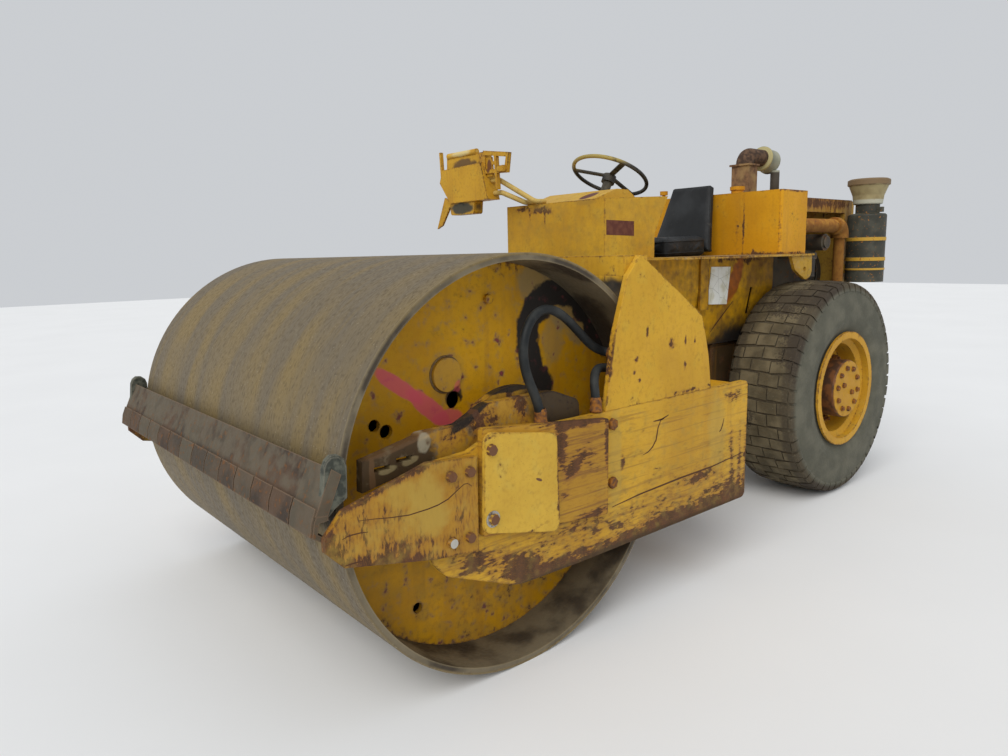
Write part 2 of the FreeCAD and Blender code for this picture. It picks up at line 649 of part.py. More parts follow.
# Rear axle: a tube with a banjo middle, flanged under the frame, and a spindle into
# each hub.
AXLE_RADIUS = 95
BANJO_RADIUS = 190
AXLE_END = half_track - 220
SPINDLE_END = half_track + hub_out - 45
spindle_radius = HUB_BORE - seat_gap
axle = turned("axle", "YZ_Plane", "H_Axis", (
    (-SPINDLE_END, 0), (SPINDLE_END, 0), (SPINDLE_END, spindle_radius), (AXLE_END, spindle_radius),
    (AXLE_END, AXLE_RADIUS),
    (180, AXLE_RADIUS), (120, BANJO_RADIUS, 40), (-120, BANJO_RADIUS, 40), (-180, AXLE_RADIUS),
    (-AXLE_END, AXLE_RADIUS), (-AXLE_END, spindle_radius), (-SPINDLE_END, spindle_radius),
), (axle_x, 0, axle_z))
axle_parts = [axle]
PAD_TOP = 790
PAD_LENGTH = 240
PAD_WIDTH = 90
PAD_OFFSET = 275
for side, sign in SIDES:
    axle_parts.append(box("axle_pad_" + side, PAD_LENGTH, PAD_WIDTH, PAD_TOP - seat_gap - axle_z,
                          (axle_x - PAD_LENGTH / 2, sign * PAD_OFFSET - PAD_WIDTH / 2, axle_z)))
finish(joined("axle_assembly", axle_parts), "rear_axle")

# Rear frame: two plates on edge, a top plate with the nose box, the hinge ears and
# the cylinders' plates in front, and a bumper with a towing plate behind.
frame_half = size("frame_half")
frame_wall = size("frame_wall")
frame_top = size("frame_top")
frame_low = size("frame_low")
FRAME_FRONT = -2140
BUMPER_FRONT = -3825
BUMPER_BACK = -3850
BUMPER_HALF = 520
BUMPER_LOW = 600
NOSE_FRONT = -1610
NOSE_HALF = 120
side_plate_top = frame_top - frame_wall - seat_gap
frame_sides = []
for side, sign in SIDES:
    frame_sides.append(plate("frame_side_" + side, "XZ_Plane", (
        (FRAME_FRONT, frame_low), (-2540, frame_low, 30), (-2600, PAD_TOP, 30), (-2940, PAD_TOP, 30),
        (-3000, 620, 30), (BUMPER_FRONT + seat_gap, 680), (BUMPER_FRONT + seat_gap, side_plate_top),
        (FRAME_FRONT, side_plate_top),
    ), "frame_wall", outboard(sign, frame_half - frame_wall, frame_wall)))
finish(apart("frame_sides", frame_sides), "frame_side_plates")
OUTRIGGER_BACK = -3610
OUTRIGGER_LENGTH = 110
RAIL_HALF = 440
frame_parts = [
    box("frame_deck", FRAME_FRONT - BUMPER_FRONT + WELD, 2 * frame_half, frame_wall,
        (BUMPER_FRONT - WELD, -frame_half, frame_top - frame_wall)),
    box("outrigger", OUTRIGGER_LENGTH, 2 * RAIL_HALF, frame_wall,
        (OUTRIGGER_BACK, -RAIL_HALF, frame_top - frame_wall)),
    box("frame_front", frame_wall, 2 * frame_half, frame_top - frame_low,
        (FRAME_FRONT + seat_gap, -frame_half, frame_low)),
    plate("frame_nose_deck", "XY_Plane", (
        (FRAME_FRONT - WELD, frame_half), (FRAME_FRONT + frame_wall, frame_half),
        (FRAME_FRONT + frame_wall, -frame_half), (FRAME_FRONT - WELD, -frame_half),
    ), "frame_wall", frame_top - frame_wall),
    plate("bumper", "YZ_Plane", (
        (-BUMPER_HALF, BUMPER_LOW, 40), (BUMPER_HALF, BUMPER_LOW, 40),
        (BUMPER_HALF, frame_top, 40), (-BUMPER_HALF, frame_top, 40),
    ), BUMPER_FRONT - BUMPER_BACK, BUMPER_BACK),
]
nose_low = size("hinge_low") + ear_wall + size("hinge_gap")
nose_top = size("hinge_high") + 2 * ear_wall + size("hinge_gap")
frame_parts.append(box("nose", NOSE_FRONT - FRAME_FRONT, 2 * NOSE_HALF, nose_top - nose_low,
                       (FRAME_FRONT + WELD, -NOSE_HALF, nose_low)))
for number, level in enumerate(hinge_levels):
    frame_parts.append(plate("rear_ear_%d" % number, "XY_Plane", (
        (NOSE_FRONT - 20, -NOSE_HALF), (NOSE_FRONT - 20, NOSE_HALF),
        (hinge_x + ear_radius, ear_radius, ear_radius - 1),
        (hinge_x + ear_radius, -ear_radius, ear_radius - 1),
    ), "hinge_ear_wall", level + ear_wall + size("hinge_gap"),
        ((hinge_x, 0, pin_radius + size("stub_gap")),)))
for side, sign in SIDES:
    for number, lift in enumerate(lug_lifts):
        frame_parts.append(plate("barrel_lug_%s_%d" % (side, number), "XY_Plane", (
            (FRAME_FRONT + WELD, sign * BARREL_PIN[1] - 60), (FRAME_FRONT + WELD, sign * BARREL_PIN[1] + 60),
            (BARREL_PIN[0] + LUG_REACH, sign * BARREL_PIN[1] + LUG_REACH, 40),
            (BARREL_PIN[0] + LUG_REACH, sign * BARREL_PIN[1] - LUG_REACH, 40),
        ), "lug_wall", cylinder_z + lift))
# Towing plate: it lies flat through the bumper's foot, with a pin hole.
TOW_PIN = (-3795, 0)
TOW_PLATE_Z = 640
frame_parts.append(plate("tow_plate", "XY_Plane", (
    (BUMPER_FRONT - WELD, -70), (BUMPER_FRONT - WELD, 70), (-3720, 55, 40), (-3720, -55, 40),
), "tow_wall", TOW_PLATE_Z, ((TOW_PIN[0], TOW_PIN[1], size("tow_hole_radius")),)))
finish(joined("rear_frame_all", frame_parts), "rear_frame")

# Steering cylinders: a barrel hung on the rear frame and a rod that ends in an eye
# between two plates of the front frame.
reach_x = ROD_PIN[0] - BARREL_PIN[0]
reach_y = ROD_PIN[1] - BARREL_PIN[1]
cylinder_reach = math.hypot(reach_x, reach_y)
BARREL_LENGTH = 400
BARREL_START = LUG_REACH + 20
NECK_RADIUS = 26
ROD_LENGTH = 388
eye_low = -size("eye_wall") / 2
for side, sign in SIDES:
    lean = math.degrees(math.atan2(sign * reach_y, reach_x))
    turn = FreeCAD.Rotation(FreeCAD.Vector(0, 0, 1), lean)
    at = FreeCAD.Vector(BARREL_PIN[0], sign * BARREL_PIN[1], cylinder_z)
    barrel_solid = joined("barrel_solid_" + side, [
        rod("barrel_neck_" + side, NECK_RADIUS, BARREL_START + WELD, (0, 0, 0), "x"),
        rod("barrel_tube_" + side, "cylinder_radius", BARREL_LENGTH - BARREL_START,
            (BARREL_START, 0, 0), "x"),
        rod("barrel_eye_" + side, "eye_radius", "eye_wall", (0, 0, eye_low), "z"),
        rod("barrel_pin_" + side, "cylinder_pin_radius", "eye_wall + 2 * lug_gap - 2 * seat_gap",
            (0, 0, eye_low - lug_gap + seat_gap), "z"),
    ])
    bore = rod("barrel_bore_" + side, "rod_radius + stub_gap", BARREL_LENGTH, (BARREL_START + 20, 0, 0), "x")
    barrel = cut("barrel_" + side, barrel_solid, bore)
    barrel.Placement = FreeCAD.Placement(at, turn)
    finish(barrel, "steer_barrel_" + side)
    piston_rod = joined("rod_" + side, [
        rod("rod_bar_" + side, "rod_radius", ROD_LENGTH, (cylinder_reach - ROD_LENGTH, 0, 0), "x"),
        rod("rod_eye_" + side, "eye_radius", "eye_wall", (cylinder_reach, 0, eye_low), "z"),
        rod("rod_pin_" + side, "cylinder_pin_radius", "eye_wall + 2 * lug_gap - 2 * seat_gap",
            (cylinder_reach, 0, eye_low - lug_gap + seat_gap), "z"),
    ])
    piston_rod.Placement = FreeCAD.Placement(at, turn)
    finish(piston_rod, "steer_rod_" + side)

# Driver's body: two side panels whose lower part leans inward, a front bulkhead and
# a floor on the rear frame's nose, under a deck plate with an opening over the
# driver's feet. Lifting lugs hang under the deck's rear corners.
body_half = size("body_half")
deck_half = size("deck_half")
BODY_FRONT = -1250
BODY_BACK = -2650
BODY_FOLD = 1290
BODY_LOW = frame_top + 10
BODY_LEAN = 62
SLOT_X = -2405
SLOT_LOW = 1125
SLOT_LONG = 165
SLOT_WIDTH = 26
BODY_OUTLINE = (
    (BODY_FRONT, 1150, 20), (-1420, BODY_LOW, 30), (-2480, BODY_LOW, 30), (-2560, 1125, 40),
    (BODY_BACK, 1125, 20), (BODY_BACK, deck_low), (BODY_FRONT, deck_low),
)
STRIP_OUTLINE = ((-1855, 1180), (-1937, 1180), (-1937, deck_low - 2), (-1855, deck_low - 2))
STRIP_WALL = 12
panel_top = deck_low - seat_gap
body_panels = []
for side, sign in SIDES:
    sheet = plate("panel_sheet_" + side, "YZ_Plane", [(sign * across, up) for across, up in (
        (body_half, panel_top), (body_half, BODY_FOLD), (body_half - BODY_LEAN, BODY_LOW),
        (body_half - BODY_LEAN - sheet_wall, BODY_LOW), (body_half - sheet_wall, BODY_FOLD),
        (body_half - sheet_wall, panel_top),
    )], BODY_FRONT - BODY_BACK, BODY_BACK)
    outline = plate("panel_outline_" + side, "XZ_Plane", BODY_OUTLINE, 2 * BODY_LEAN,
                    outboard(sign, body_half - 1.5 * BODY_LEAN, 2 * BODY_LEAN))
    trimmed = doc.addObject("Part::Common", "panel_trimmed_" + side)
    trimmed.Base = sheet
    trimmed.Tool = outline
    slot = box("panel_slot_" + side, SLOT_WIDTH, 2 * BODY_LEAN, SLOT_LONG,
               (SLOT_X - SLOT_WIDTH / 2, sign * body_half - BODY_LEAN, SLOT_LOW))
    strip = plate("panel_strip_" + side, "XZ_Plane", STRIP_OUTLINE, STRIP_WALL + 2,
                  outboard(sign, body_half - 2, STRIP_WALL + 2))
    body_panels.append(joined("panel_" + side, [cut("panel_slotted_" + side, trimmed, slot), strip]))
finish(apart("panels", body_panels), "body_panels")
FOOT_FLOOR = 1080
WELL_FRONT = -1330
WELL_BACK = -1780
WELL_END = -1811
WELL_NOSE = 1150
well_half = body_half - BODY_LEAN
bulkhead_half = body_half - sheet_wall - 1
well_parts = [
    box("bulkhead", "sheet_wall", 2 * well_half, panel_top - WELL_NOSE,
        (BODY_FRONT - sheet_wall, -well_half, WELL_NOSE)),
    box("bulkhead_head", "sheet_wall", 2 * bulkhead_half, panel_top - BODY_FOLD - 1,
        (BODY_FRONT - sheet_wall, -bulkhead_half, BODY_FOLD + 1)),
    box("foot_floor", WELL_FRONT - WELL_END, 2 * well_half, 10, (WELL_END, -well_half, FOOT_FLOOR)),
    box("well_back", "sheet_wall", 2 * well_half, panel_top - FOOT_FLOOR,
        (WELL_END, -well_half, FOOT_FLOOR)),
    plate("well_slope", "XZ_Plane", (
        (BODY_FRONT - sheet_wall, WELL_NOSE), (BODY_FRONT - sheet_wall, WELL_NOSE + 10),
        (WELL_FRONT - WELD, FOOT_FLOOR + 10), (WELL_FRONT - WELD, FOOT_FLOOR),
    ), 2 * well_half, -well_half),
    box("well_post", 120, 200, FOOT_FLOOR + WELD - nose_top - seat_gap, (-1860, -100, nose_top + seat_gap)),
]
finish(joined("well", well_parts), "foot_well")
DECK_FRONT = -1330
DECK_BACK = -2790
deck_plate = plate("deck_plate", "XY_Plane", (
    (DECK_FRONT, -deck_half, 30), (DECK_FRONT, deck_half, 30), (DECK_BACK, deck_half, 30),
    (DECK_BACK, -deck_half, 30),
), "deck_wall", deck_low)
well_hole_half = size("console_half") - 20
well_hole = box("well_hole", WELL_FRONT - WELL_BACK, 2 * well_hole_half, 60,
                (WELL_BACK, -well_hole_half, deck_low - 20))
LIFT_HOLE = (-2678, 1393)
LUG_OUTLINE = (
    (-2510, deck_low + 2), (-2765, deck_low + 2), (-2768, 1345, 50), (-2690, 1325, 40), (-2560, 1390, 60),
)
deck_parts = [cut("deck_opened", deck_plate, well_hole)]
for side, sign in SIDES:
    deck_parts.append(plate("lift_lug_" + side, "XZ_Plane", LUG_OUTLINE, "lift_wall",
                            outboard(sign, deck_half - 15 - size("lift_wall"), size("lift_wall")),
                            ((LIFT_HOLE[0], LIFT_HOLE[1], size("lift_hole_radius")),)))
finish(joined("deck", deck_parts), "driver_deck")

# Seat: a thick cushion on the deck and a sloping backrest.
seat_half = size("seat_half")
seat_front = -size("seat_front")
cushion = plate("cushion", "XZ_Plane", (
    (seat_front, deck_top + seat_gap, 15), (seat_front, deck_top + size("seat_height"), 40),
    (seat_front - size("seat_depth"), deck_top + size("seat_height") - 10, 30),
    (seat_front - size("seat_depth"), deck_top + seat_gap, 15),
), 2 * seat_half, -seat_half)
finish(cushion, "seat_cushion")
back_foot = size("back_wall") * math.cos(math.radians(size("back_recline")))
back = plate("back", "YZ_Plane", (
    (-size("back_low_half"), 0, 30), (size("back_low_half"), 0, 30),
    (size("back_top_half"), size("back_height"), 45), (-size("back_top_half"), size("back_height"), 45),
), "back_wall", 0)
back.Placement = FreeCAD.Placement(
    FreeCAD.Vector(seat_front - size("seat_depth") - seat_gap - back_foot, 0, deck_top + seat_gap),
    FreeCAD.Rotation(FreeCAD.Vector(0, 1, 0), -size("back_recline")))
finish(back, "seat_backrest")

# Console in front of the driver: folded sheet with an open back, a sloping dash
# cover on top and the steering column.
console_half = size("console_half")
CONSOLE_FRONT = -1102
CONSOLE_BACK = -1609
CONSOLE_TOP = 1787
CONSOLE_BACK_TOP = 1812
CONSOLE_LOW = 1180
CONSOLE_HEEL = BODY_FRONT + 8
CONSOLE_SIDE = (
    (CONSOLE_FRONT, CONSOLE_LOW), (CONSOLE_FRONT, CONSOLE_TOP), (CONSOLE_BACK, CONSOLE_BACK_TOP),
    (-1498, 1611), (-1497, deck_top + seat_gap), (CONSOLE_HEEL, deck_top + seat_gap),
    (CONSOLE_HEEL, CONSOLE_LOW),
)
console_parts = []
for side, sign in SIDES:
    console_parts.append(plate("console_side_" + side, "XZ_Plane", CONSOLE_SIDE, "sheet_wall",
                               outboard(sign, console_half - sheet_wall, sheet_wall)))
console_parts.append(box("console_face", "sheet_wall", 2 * console_half, CONSOLE_TOP - CONSOLE_LOW,
                         (CONSOLE_FRONT - sheet_wall, -console_half, CONSOLE_LOW)))
console_parts.append(plate("console_lid", "XZ_Plane", (
    (CONSOLE_FRONT, CONSOLE_TOP - sheet_wall), (CONSOLE_FRONT, CONSOLE_TOP), (CONSOLE_BACK, CONSOLE_BACK_TOP),
    (CONSOLE_BACK + 3, CONSOLE_BACK_TOP - sheet_wall),
), 2 * console_half, -console_half))
finish(joined("console_all", console_parts), "console")
DASH_TOP = 1850
DASH_BACK = -1420
DASH_HALF = 253
DASH_FOOT = (-1486, 1807.2)
DASH_OUTLINE = ((-1150, 1790), (-1330, DASH_TOP, 20), (DASH_BACK, DASH_TOP), DASH_FOOT)
finish(plate("dash", "XZ_Plane", DASH_OUTLINE, 2 * DASH_HALF, -DASH_HALF), "dash_cover")

# Steering wheel: round rim, three flat spokes and a hub on the column's top.
steer_tilt = size("steer_tilt")
steer_at = FreeCAD.Vector(-size("steer_x"), 0, size("steer_z"))
steer_turn = FreeCAD.Rotation(FreeCAD.Vector(0, 1, 0), -steer_tilt)
rim_ring = doc.addObject("Part::Torus", "steer_ring")
rim_ring.setExpression("Radius1", bound("steer_wheel_radius"))
rim_ring.setExpression("Radius2", bound("steer_rim_radius"))
STEER_HUB = 44
HUB_RADIUS = 38
SPOKE_COUNT = 3
SPOKE_WIDTH = 30
SPOKE_WALL = 8
SPOKE_DROP = 6
wheel_parts = [rim_ring, rod("steer_hub", HUB_RADIUS, STEER_HUB, (0, 0, -STEER_HUB), "z")]
for number in range(SPOKE_COUNT):
    spoke = doc.addObject("Part::Box", "spoke_%d" % number)
    spoke.setExpression("Length", bound("steer_wheel_radius"))
    spoke.Width = SPOKE_WIDTH
    spoke.Height = SPOKE_WALL
    turn = FreeCAD.Rotation(FreeCAD.Vector(0, 0, 1), 360 * (number + 0.5) / SPOKE_COUNT)
    spoke.Placement = FreeCAD.Placement(turn.multVec(FreeCAD.Vector(0, -SPOKE_WIDTH / 2, -SPOKE_DROP)), turn)
    wheel_parts.append(spoke)
steering = joined("steering", wheel_parts)
steering.Placement = FreeCAD.Placement(steer_at, steer_turn)
finish(steering, "steering_wheel")
axis_down = steer_turn.multVec(FreeCAD.Vector(0, 0, -1))
# The column's foot is cut to sit on the console's lid and against the dash's back.
COLUMN_REACH = 200
column = rod("column", "column_radius", COLUMN_REACH - STEER_HUB - seat_gap, (0, 0, 0), "z")
column.Placement = FreeCAD.Placement(steer_at + axis_down * COLUMN_REACH, steer_turn)
lid_slope = (CONSOLE_BACK_TOP - CONSOLE_TOP) / (CONSOLE_FRONT - CONSOLE_BACK)
dash_lean = math.atan2(DASH_TOP - DASH_FOOT[1], DASH_BACK - DASH_FOOT[0])
clear_x = -seat_gap * math.sin(dash_lean)
clear_z = seat_gap * math.cos(dash_lean)
foot_x = DASH_FOOT[0] - 2
column_seat = plate("column_seat", "XZ_Plane", (
    (CONSOLE_BACK, CONSOLE_BACK_TOP + seat_gap),
    (foot_x, CONSOLE_TOP + lid_slope * (CONSOLE_FRONT - foot_x) + seat_gap),
    (DASH_FOOT[0] + clear_x, DASH_FOOT[1] + clear_z), (DASH_BACK + clear_x, DASH_TOP + clear_z),
    (DASH_BACK, CONSOLE_TOP - 2 * COLUMN_REACH), (CONSOLE_BACK, CONSOLE_TOP - 2 * COLUMN_REACH),
), 2 * COLUMN_REACH, -COLUMN_REACH)
column = cut("column_foot", column, column_seat)
finish(column, "steering_column")

# Gauge pod: a sheet box with a sloping corner and an open trough on top, whose tall
# back carries a tube. A lamp hangs under it, a leg and an upright stand at its left
# end, and a cheek with a bar frame at its right end. Two arms hold it.
POD_FRONT = -940
POD_DEPTH = 90
POD_BACK = POD_FRONT - POD_DEPTH
POD_TOP_END = (-409, 2029)
POD_LOW_END = (-351, 1826)
POD_OUTLINE = ((-772, 2021), POD_TOP_END, POD_LOW_END, (-702, 1824), (-801, 1948))
pod_shell = plate("pod_shell", "YZ_Plane", POD_OUTLINE, POD_DEPTH, POD_BACK)
trough = plate("pod_trough", "YZ_Plane", (
    (-763, 2040), (-763, 1955), (-425, 1965), (-425, 2040),
), POD_DEPTH - 2 * sheet_wall, POD_BACK + sheet_wall)
FRAME_BAR = 22
POD_MIDDLE = POD_BACK + 50
POD_CHEEK_TOP = 2088
POD_FRAME = ((-404, 2094), (-186, 2062), (-204, 1958), (-400, 1968))
POD_FRAME_WINDOW = ((-420, 2072), (-210, 2041), (-224, 1980), (-420, 1990))
bar_frame = plate("pod_bar_outer", "YZ_Plane", POD_FRAME, FRAME_BAR, POD_MIDDLE)
bar_window = plate("pod_bar_window", "YZ_Plane", POD_FRAME_WINDOW, 2 * FRAME_BAR, POD_MIDDLE - FRAME_BAR / 2)
LAMP_DEPTH = 64
TUBE_RADIUS = 17
pod_parts = [
    cut("pod_open", pod_shell, trough),
    plate("pod_back", "YZ_Plane", ((-765, 1950), (-758, 2089), (-435, 2085), (-420, 1960)),
          2 * sheet_wall, POD_MIDDLE),
    rod("pod_tube", TUBE_RADIUS, 270, (POD_MIDDLE + sheet_wall, -748, 2099), "y"),
    plate("pod_cheek", "YZ_Plane", ((-440, 1960), (-440, POD_CHEEK_TOP), (-391, POD_CHEEK_TOP), (-388, 1960)),
          50, POD_BACK + 20),
    plate("pod_upright", "YZ_Plane", ((-801, 1935), (-814, 2128), (-798, 2128), (-784, 1935)),
          3 * sheet_wall, POD_FRONT - 5 * sheet_wall),
    cut("pod_bar_frame", bar_frame, bar_window),
    plate("pod_post", "YZ_Plane", ((-312, 2066), (-294, 2066), (-281, 1875), (-299, 1875)),
          FRAME_BAR, POD_MIDDLE),
    plate("pod_block", "YZ_Plane", ((-262, 1965), (-262, 1996), (-208, 1996), (-208, 1965)),
          2 * FRAME_BAR, POD_MIDDLE),
    plate("pod_inner_strip", "YZ_Plane", ((-392, 2054), (-345, 2054), (-335, 1950), (-384, 1950)),
          2 * sheet_wall, POD_MIDDLE),
    plate("pod_strip_tie", "YZ_Plane", ((-350, 2030), (-300, 2030), (-300, 2012), (-350, 2012)),
          2 * sheet_wall, POD_MIDDLE),
    plate("pod_lamp", "YZ_Plane", ((-722, 1830), (-486, 1830), (-494, 1756, 16), (-714, 1756, 16)),
          LAMP_DEPTH, POD_BACK + 13),
    plate("pod_leg", "YZ_Plane", ((-770, 1862), (-700, 1830), (-806, 1700), (-858, 1682)),
          2 * sheet_wall, POD_FRONT - 4 * sheet_wall),
]
finish(joined("pod_all", pod_parts), "pod")
ARM_RADIUS = 14
arm_x = POD_BACK + 30
POD_END_SLOPE = (POD_LOW_END[0] - POD_TOP_END[0]) / (POD_TOP_END[1] - POD_LOW_END[1])
# Each arm: its height at the pod and its place across the console.
ARM_SPOTS = ((1930, -110), (1860, -190))
ARM_BEND_X = -1080
ARM_END_X = -1150
arm_lift = (ARM_RADIUS + seat_gap) * math.hypot(1, lid_slope)
pod_arm_list = []
for number, (up, across) in enumerate(ARM_SPOTS):
    pod_face = POD_TOP_END[0] + POD_END_SLOPE * (POD_TOP_END[1] - up + ARM_RADIUS) + seat_gap
    arm_rest = CONSOLE_TOP + lid_slope * (CONSOLE_FRONT - ARM_BEND_X) + arm_lift
    pod_arm_list.append(pipe("pod_arm_%d" % number, ARM_RADIUS, (
        (arm_x, pod_face, up), (arm_x, pod_face + 60, up), (ARM_BEND_X, across, arm_rest),
        (ARM_END_X, across, arm_rest + (ARM_BEND_X - ARM_END_X) * lid_slope)), 30))
pod_arms = apart("pod_arms_all", pod_arm_list)
finish(pod_arms, "pod_arms")

# Fuel tank behind the seat: folded sheet with a lapped seam and a filler cap.
tank_front = -size("tank_front")
tank_depth = size("tank_depth")
tank_back = tank_front - tank_depth - seat_gap
tank_top = deck_top + seat_gap + size("tank_height")
TANK_SEAM_Y = 350
SEAM_WALL = 3
FILLER_AT = (tank_front - 110, 230)
FILLER_HEIGHT = 34
BREATHER_AT = (tank_front - 57, -302)
BREATHER_NECK = 40
tank_parts = [
    plate("tank", "XY_Plane", (
        (tank_front, size("tank_left"), 15), (tank_front, size("tank_right"), 15),
        (tank_front - tank_depth, size("tank_right"), 15), (tank_front - tank_depth, size("tank_left"), 15),
    ), "tank_height", deck_top + seat_gap),
    box("tank_seam", SEAM_WALL + 1, size("tank_left") - TANK_SEAM_Y - 15, size("tank_height"),
        (tank_front - 1, TANK_SEAM_Y, deck_top + seat_gap)),
    rod("filler", 38, FILLER_HEIGHT, FILLER_AT + (tank_top - WELD,), "z"),
    rod("filler_cap", 46, 22, FILLER_AT + (tank_top + FILLER_HEIGHT - 2 * WELD,), "z"),
    rod("breather_neck", 11, BREATHER_NECK, BREATHER_AT + (tank_top - WELD,), "z"),
    rod("breather_cap", 26, 26, BREATHER_AT + (tank_top + BREATHER_NECK - 2 * WELD,), "z"),
]
finish(joined("tank_all", tank_parts), "fuel_tank")

# Engine bay: an open frame of rails and posts behind the tank, the engine with what
# hangs on it, its pipes, and the radiator behind a grille.
BAY_BACK = -3620
rail_top = size("hood_top")
RAIL_HEIGHT = 90
rail_low = rail_top - RAIL_HEIGHT
RAIL_WALL = 12
RAIL_FLANGE = 35
POST_BACK = -3590
POST_DEPTH = 70
POST_WIDTH = 40
post_height = rail_top - frame_top - seat_gap
hood_parts = [box("hood_top", tank_back - BAY_BACK, 2 * RAIL_HALF, "hood_wall",
                  (BAY_BACK, -RAIL_HALF, rail_top - size("hood_wall")))]
for side, sign in SIDES:
    hood_parts.append(box("rail_" + side, tank_back - BAY_BACK, RAIL_WALL, rail_top - rail_low,
                          (BAY_BACK, outboard(sign, RAIL_HALF - RAIL_WALL, RAIL_WALL), rail_low)))
    hood_parts.append(box("rail_flange_" + side, tank_back - BAY_BACK, RAIL_FLANGE, RAIL_WALL,
                          (BAY_BACK, outboard(sign, RAIL_HALF - RAIL_FLANGE, RAIL_FLANGE), rail_low)))
    hood_parts.append(box("post_" + side, POST_DEPTH, POST_WIDTH, post_height,
                          (POST_BACK, outboard(sign, RAIL_HALF - POST_WIDTH, POST_WIDTH),
                           frame_top + seat_gap)))
finish(joined("hood", hood_parts), "hood")

# Engine: one block at its real place and size, with its valve cover, fan, generator
# and oil filter on it.
ENGINE_FRONT = -2800
engine_back = ENGINE_FRONT - size("engine_length")
engine_half = size("engine_width") / 2
engine_top = frame_top + seat_gap + size("engine_height")
GENERATOR_AT = (-3095, 1556)
FILTER_AT = (-3030, 440)
FAN_RADIUS = 255
FAN_Z = 1340
engine_parts = [
    box("engine", "engine_length", "engine_width", "engine_height",
        (engine_back, -engine_half, frame_top + seat_gap)),
    plate("valve_cover", "YZ_Plane", ((-95, engine_top - WELD), (95, engine_top - WELD),
                                      (75, engine_top + 85, 30), (-75, engine_top + 85, 30)),
          size("engine_length") - 120, engine_back + 60),
    rod("generator", 54, 150, (GENERATOR_AT[0], 372, GENERATOR_AT[1]), "y"),
    rod("generator_face", 40, 16, (GENERATOR_AT[0], 520, GENERATOR_AT[1]), "y"),
    box("generator_foot", 70, 380 - engine_half + WELD, 46,
        (GENERATOR_AT[0] - 35, engine_half - WELD, GENERATOR_AT[1] - 70)),
    rod("oil_filter", 46, 120, (FILTER_AT[0], FILTER_AT[1], 1335), "z"),
    box("filter_head", 100, FILTER_AT[1] + 40 - engine_half, 40,
        (FILTER_AT[0] - 50, engine_half - WELD, 1448)),
    rod("fan_ring", FAN_RADIUS, 60, (engine_back - 85, 0, FAN_Z), "x"),
    rod("fan_hub", 60, 100, (engine_back - 60, 0, FAN_Z), "x"),
]
finish(joined("engine_all", engine_parts), "engine_block")

# Pipes on the bay's left: a level tube from the tank's back wall, a wide elbow and a
# pipe that goes down and in to the engine.
PIPE_Y = 520
LEVEL_Z = 1662
DOWN_X = -3290
DOWN_LOW = 1215
engine_pipes = joined("engine_pipes_all", [
    rod("level_tube", 44, tank_back - DOWN_X - 85, (DOWN_X + 85, PIPE_Y, LEVEL_Z), "x"),
    pipe("wide_elbow", 57, ((DOWN_X + 92, PIPE_Y, LEVEL_Z), (DOWN_X, PIPE_Y, LEVEL_Z),
                            (DOWN_X, PIPE_Y, LEVEL_Z - 80)), 60),
    pipe("down_pipe", 35, ((DOWN_X, PIPE_Y, LEVEL_Z - 70), (DOWN_X, PIPE_Y, DOWN_LOW),
                           (DOWN_X, engine_half + seat_gap, DOWN_LOW)), 70),
])
finish(engine_pipes, "engine_pipes")

# Radiator: a case with a recessed grille of level slats at the machine's back.
RADIATOR_FRONT = BAY_BACK - seat_gap
RADIATOR_DEPTH = 140
radiator_half = RAIL_HALF - 50
GRILLE_EDGE = 45
GRILLE_DEPTH = 40
SLAT_COUNT = 15
SLAT_HEIGHT = 22
case = box("radiator", RADIATOR_DEPTH, 2 * radiator_half, post_height,
           (RADIATOR_FRONT - RADIATOR_DEPTH, -radiator_half, frame_top + seat_gap))
recess = box("grille_recess", GRILLE_DEPTH, 2 * (radiator_half - GRILLE_EDGE),
             post_height - 2 * GRILLE_EDGE,
             (RADIATOR_FRONT - RADIATOR_DEPTH, GRILLE_EDGE - radiator_half,
              frame_top + seat_gap + GRILLE_EDGE))
radiator_parts = [cut("radiator_recessed", case, recess)]
slat_pitch = (post_height - 2 * GRILLE_EDGE) / SLAT_COUNT
for number in range(SLAT_COUNT):
    slat_low = frame_top + GRILLE_EDGE + (number + 0.5) * slat_pitch - SLAT_HEIGHT / 2
    radiator_parts.append(plate("slat_%d" % number, "XZ_Plane", (
        (RADIATOR_FRONT - RADIATOR_DEPTH + 4, slat_low), (RADIATOR_FRONT - RADIATOR_DEPTH + 8, slat_low),
        (RADIATOR_FRONT - RADIATOR_DEPTH + 34, slat_low + SLAT_HEIGHT),
        (RADIATOR_FRONT - RADIATOR_DEPTH + 30, slat_low + SLAT_HEIGHT),
    ), 2 * (radiator_half - GRILLE_EDGE) + 4, GRILLE_EDGE - radiator_half - 2))
finish(joined("radiator_all", radiator_parts), "radiator_case")

# Exhaust: rectangular column with a flange, elbow and round muffler on a post.
MUFFLER_FRONT = -3148
column_x = -2944
column_top = rail_top + seat_gap + size("column_height")
FLANGE_WALL = 12
exhaust_column = joined("column_all", [
    box("column_box", 110, 130, "column_height", (column_x - 55, -65, rail_top + seat_gap)),
    box("column_flange", 134, 154, FLANGE_WALL, (column_x - 67, -77, column_top - FLANGE_WALL)),
])
finish(exhaust_column, "exhaust_column")
muffler_z = rail_top + size("muffler_lift")
INLET_DEPTH = 20
elbow = pipe("elbow", size("pipe_radius"), (
    (column_x, 0, column_top + seat_gap), (column_x, 0, muffler_z),
    (MUFFLER_FRONT - INLET_DEPTH + seat_gap, 0, muffler_z)), size("pipe_radius") + 2)
finish(elbow, "exhaust_elbow")
muffler_radius = size("muffler_radius")
muffler_end = -size("muffler_length")
TAIL_RADIUS = 34
TAIL_LENGTH = 60
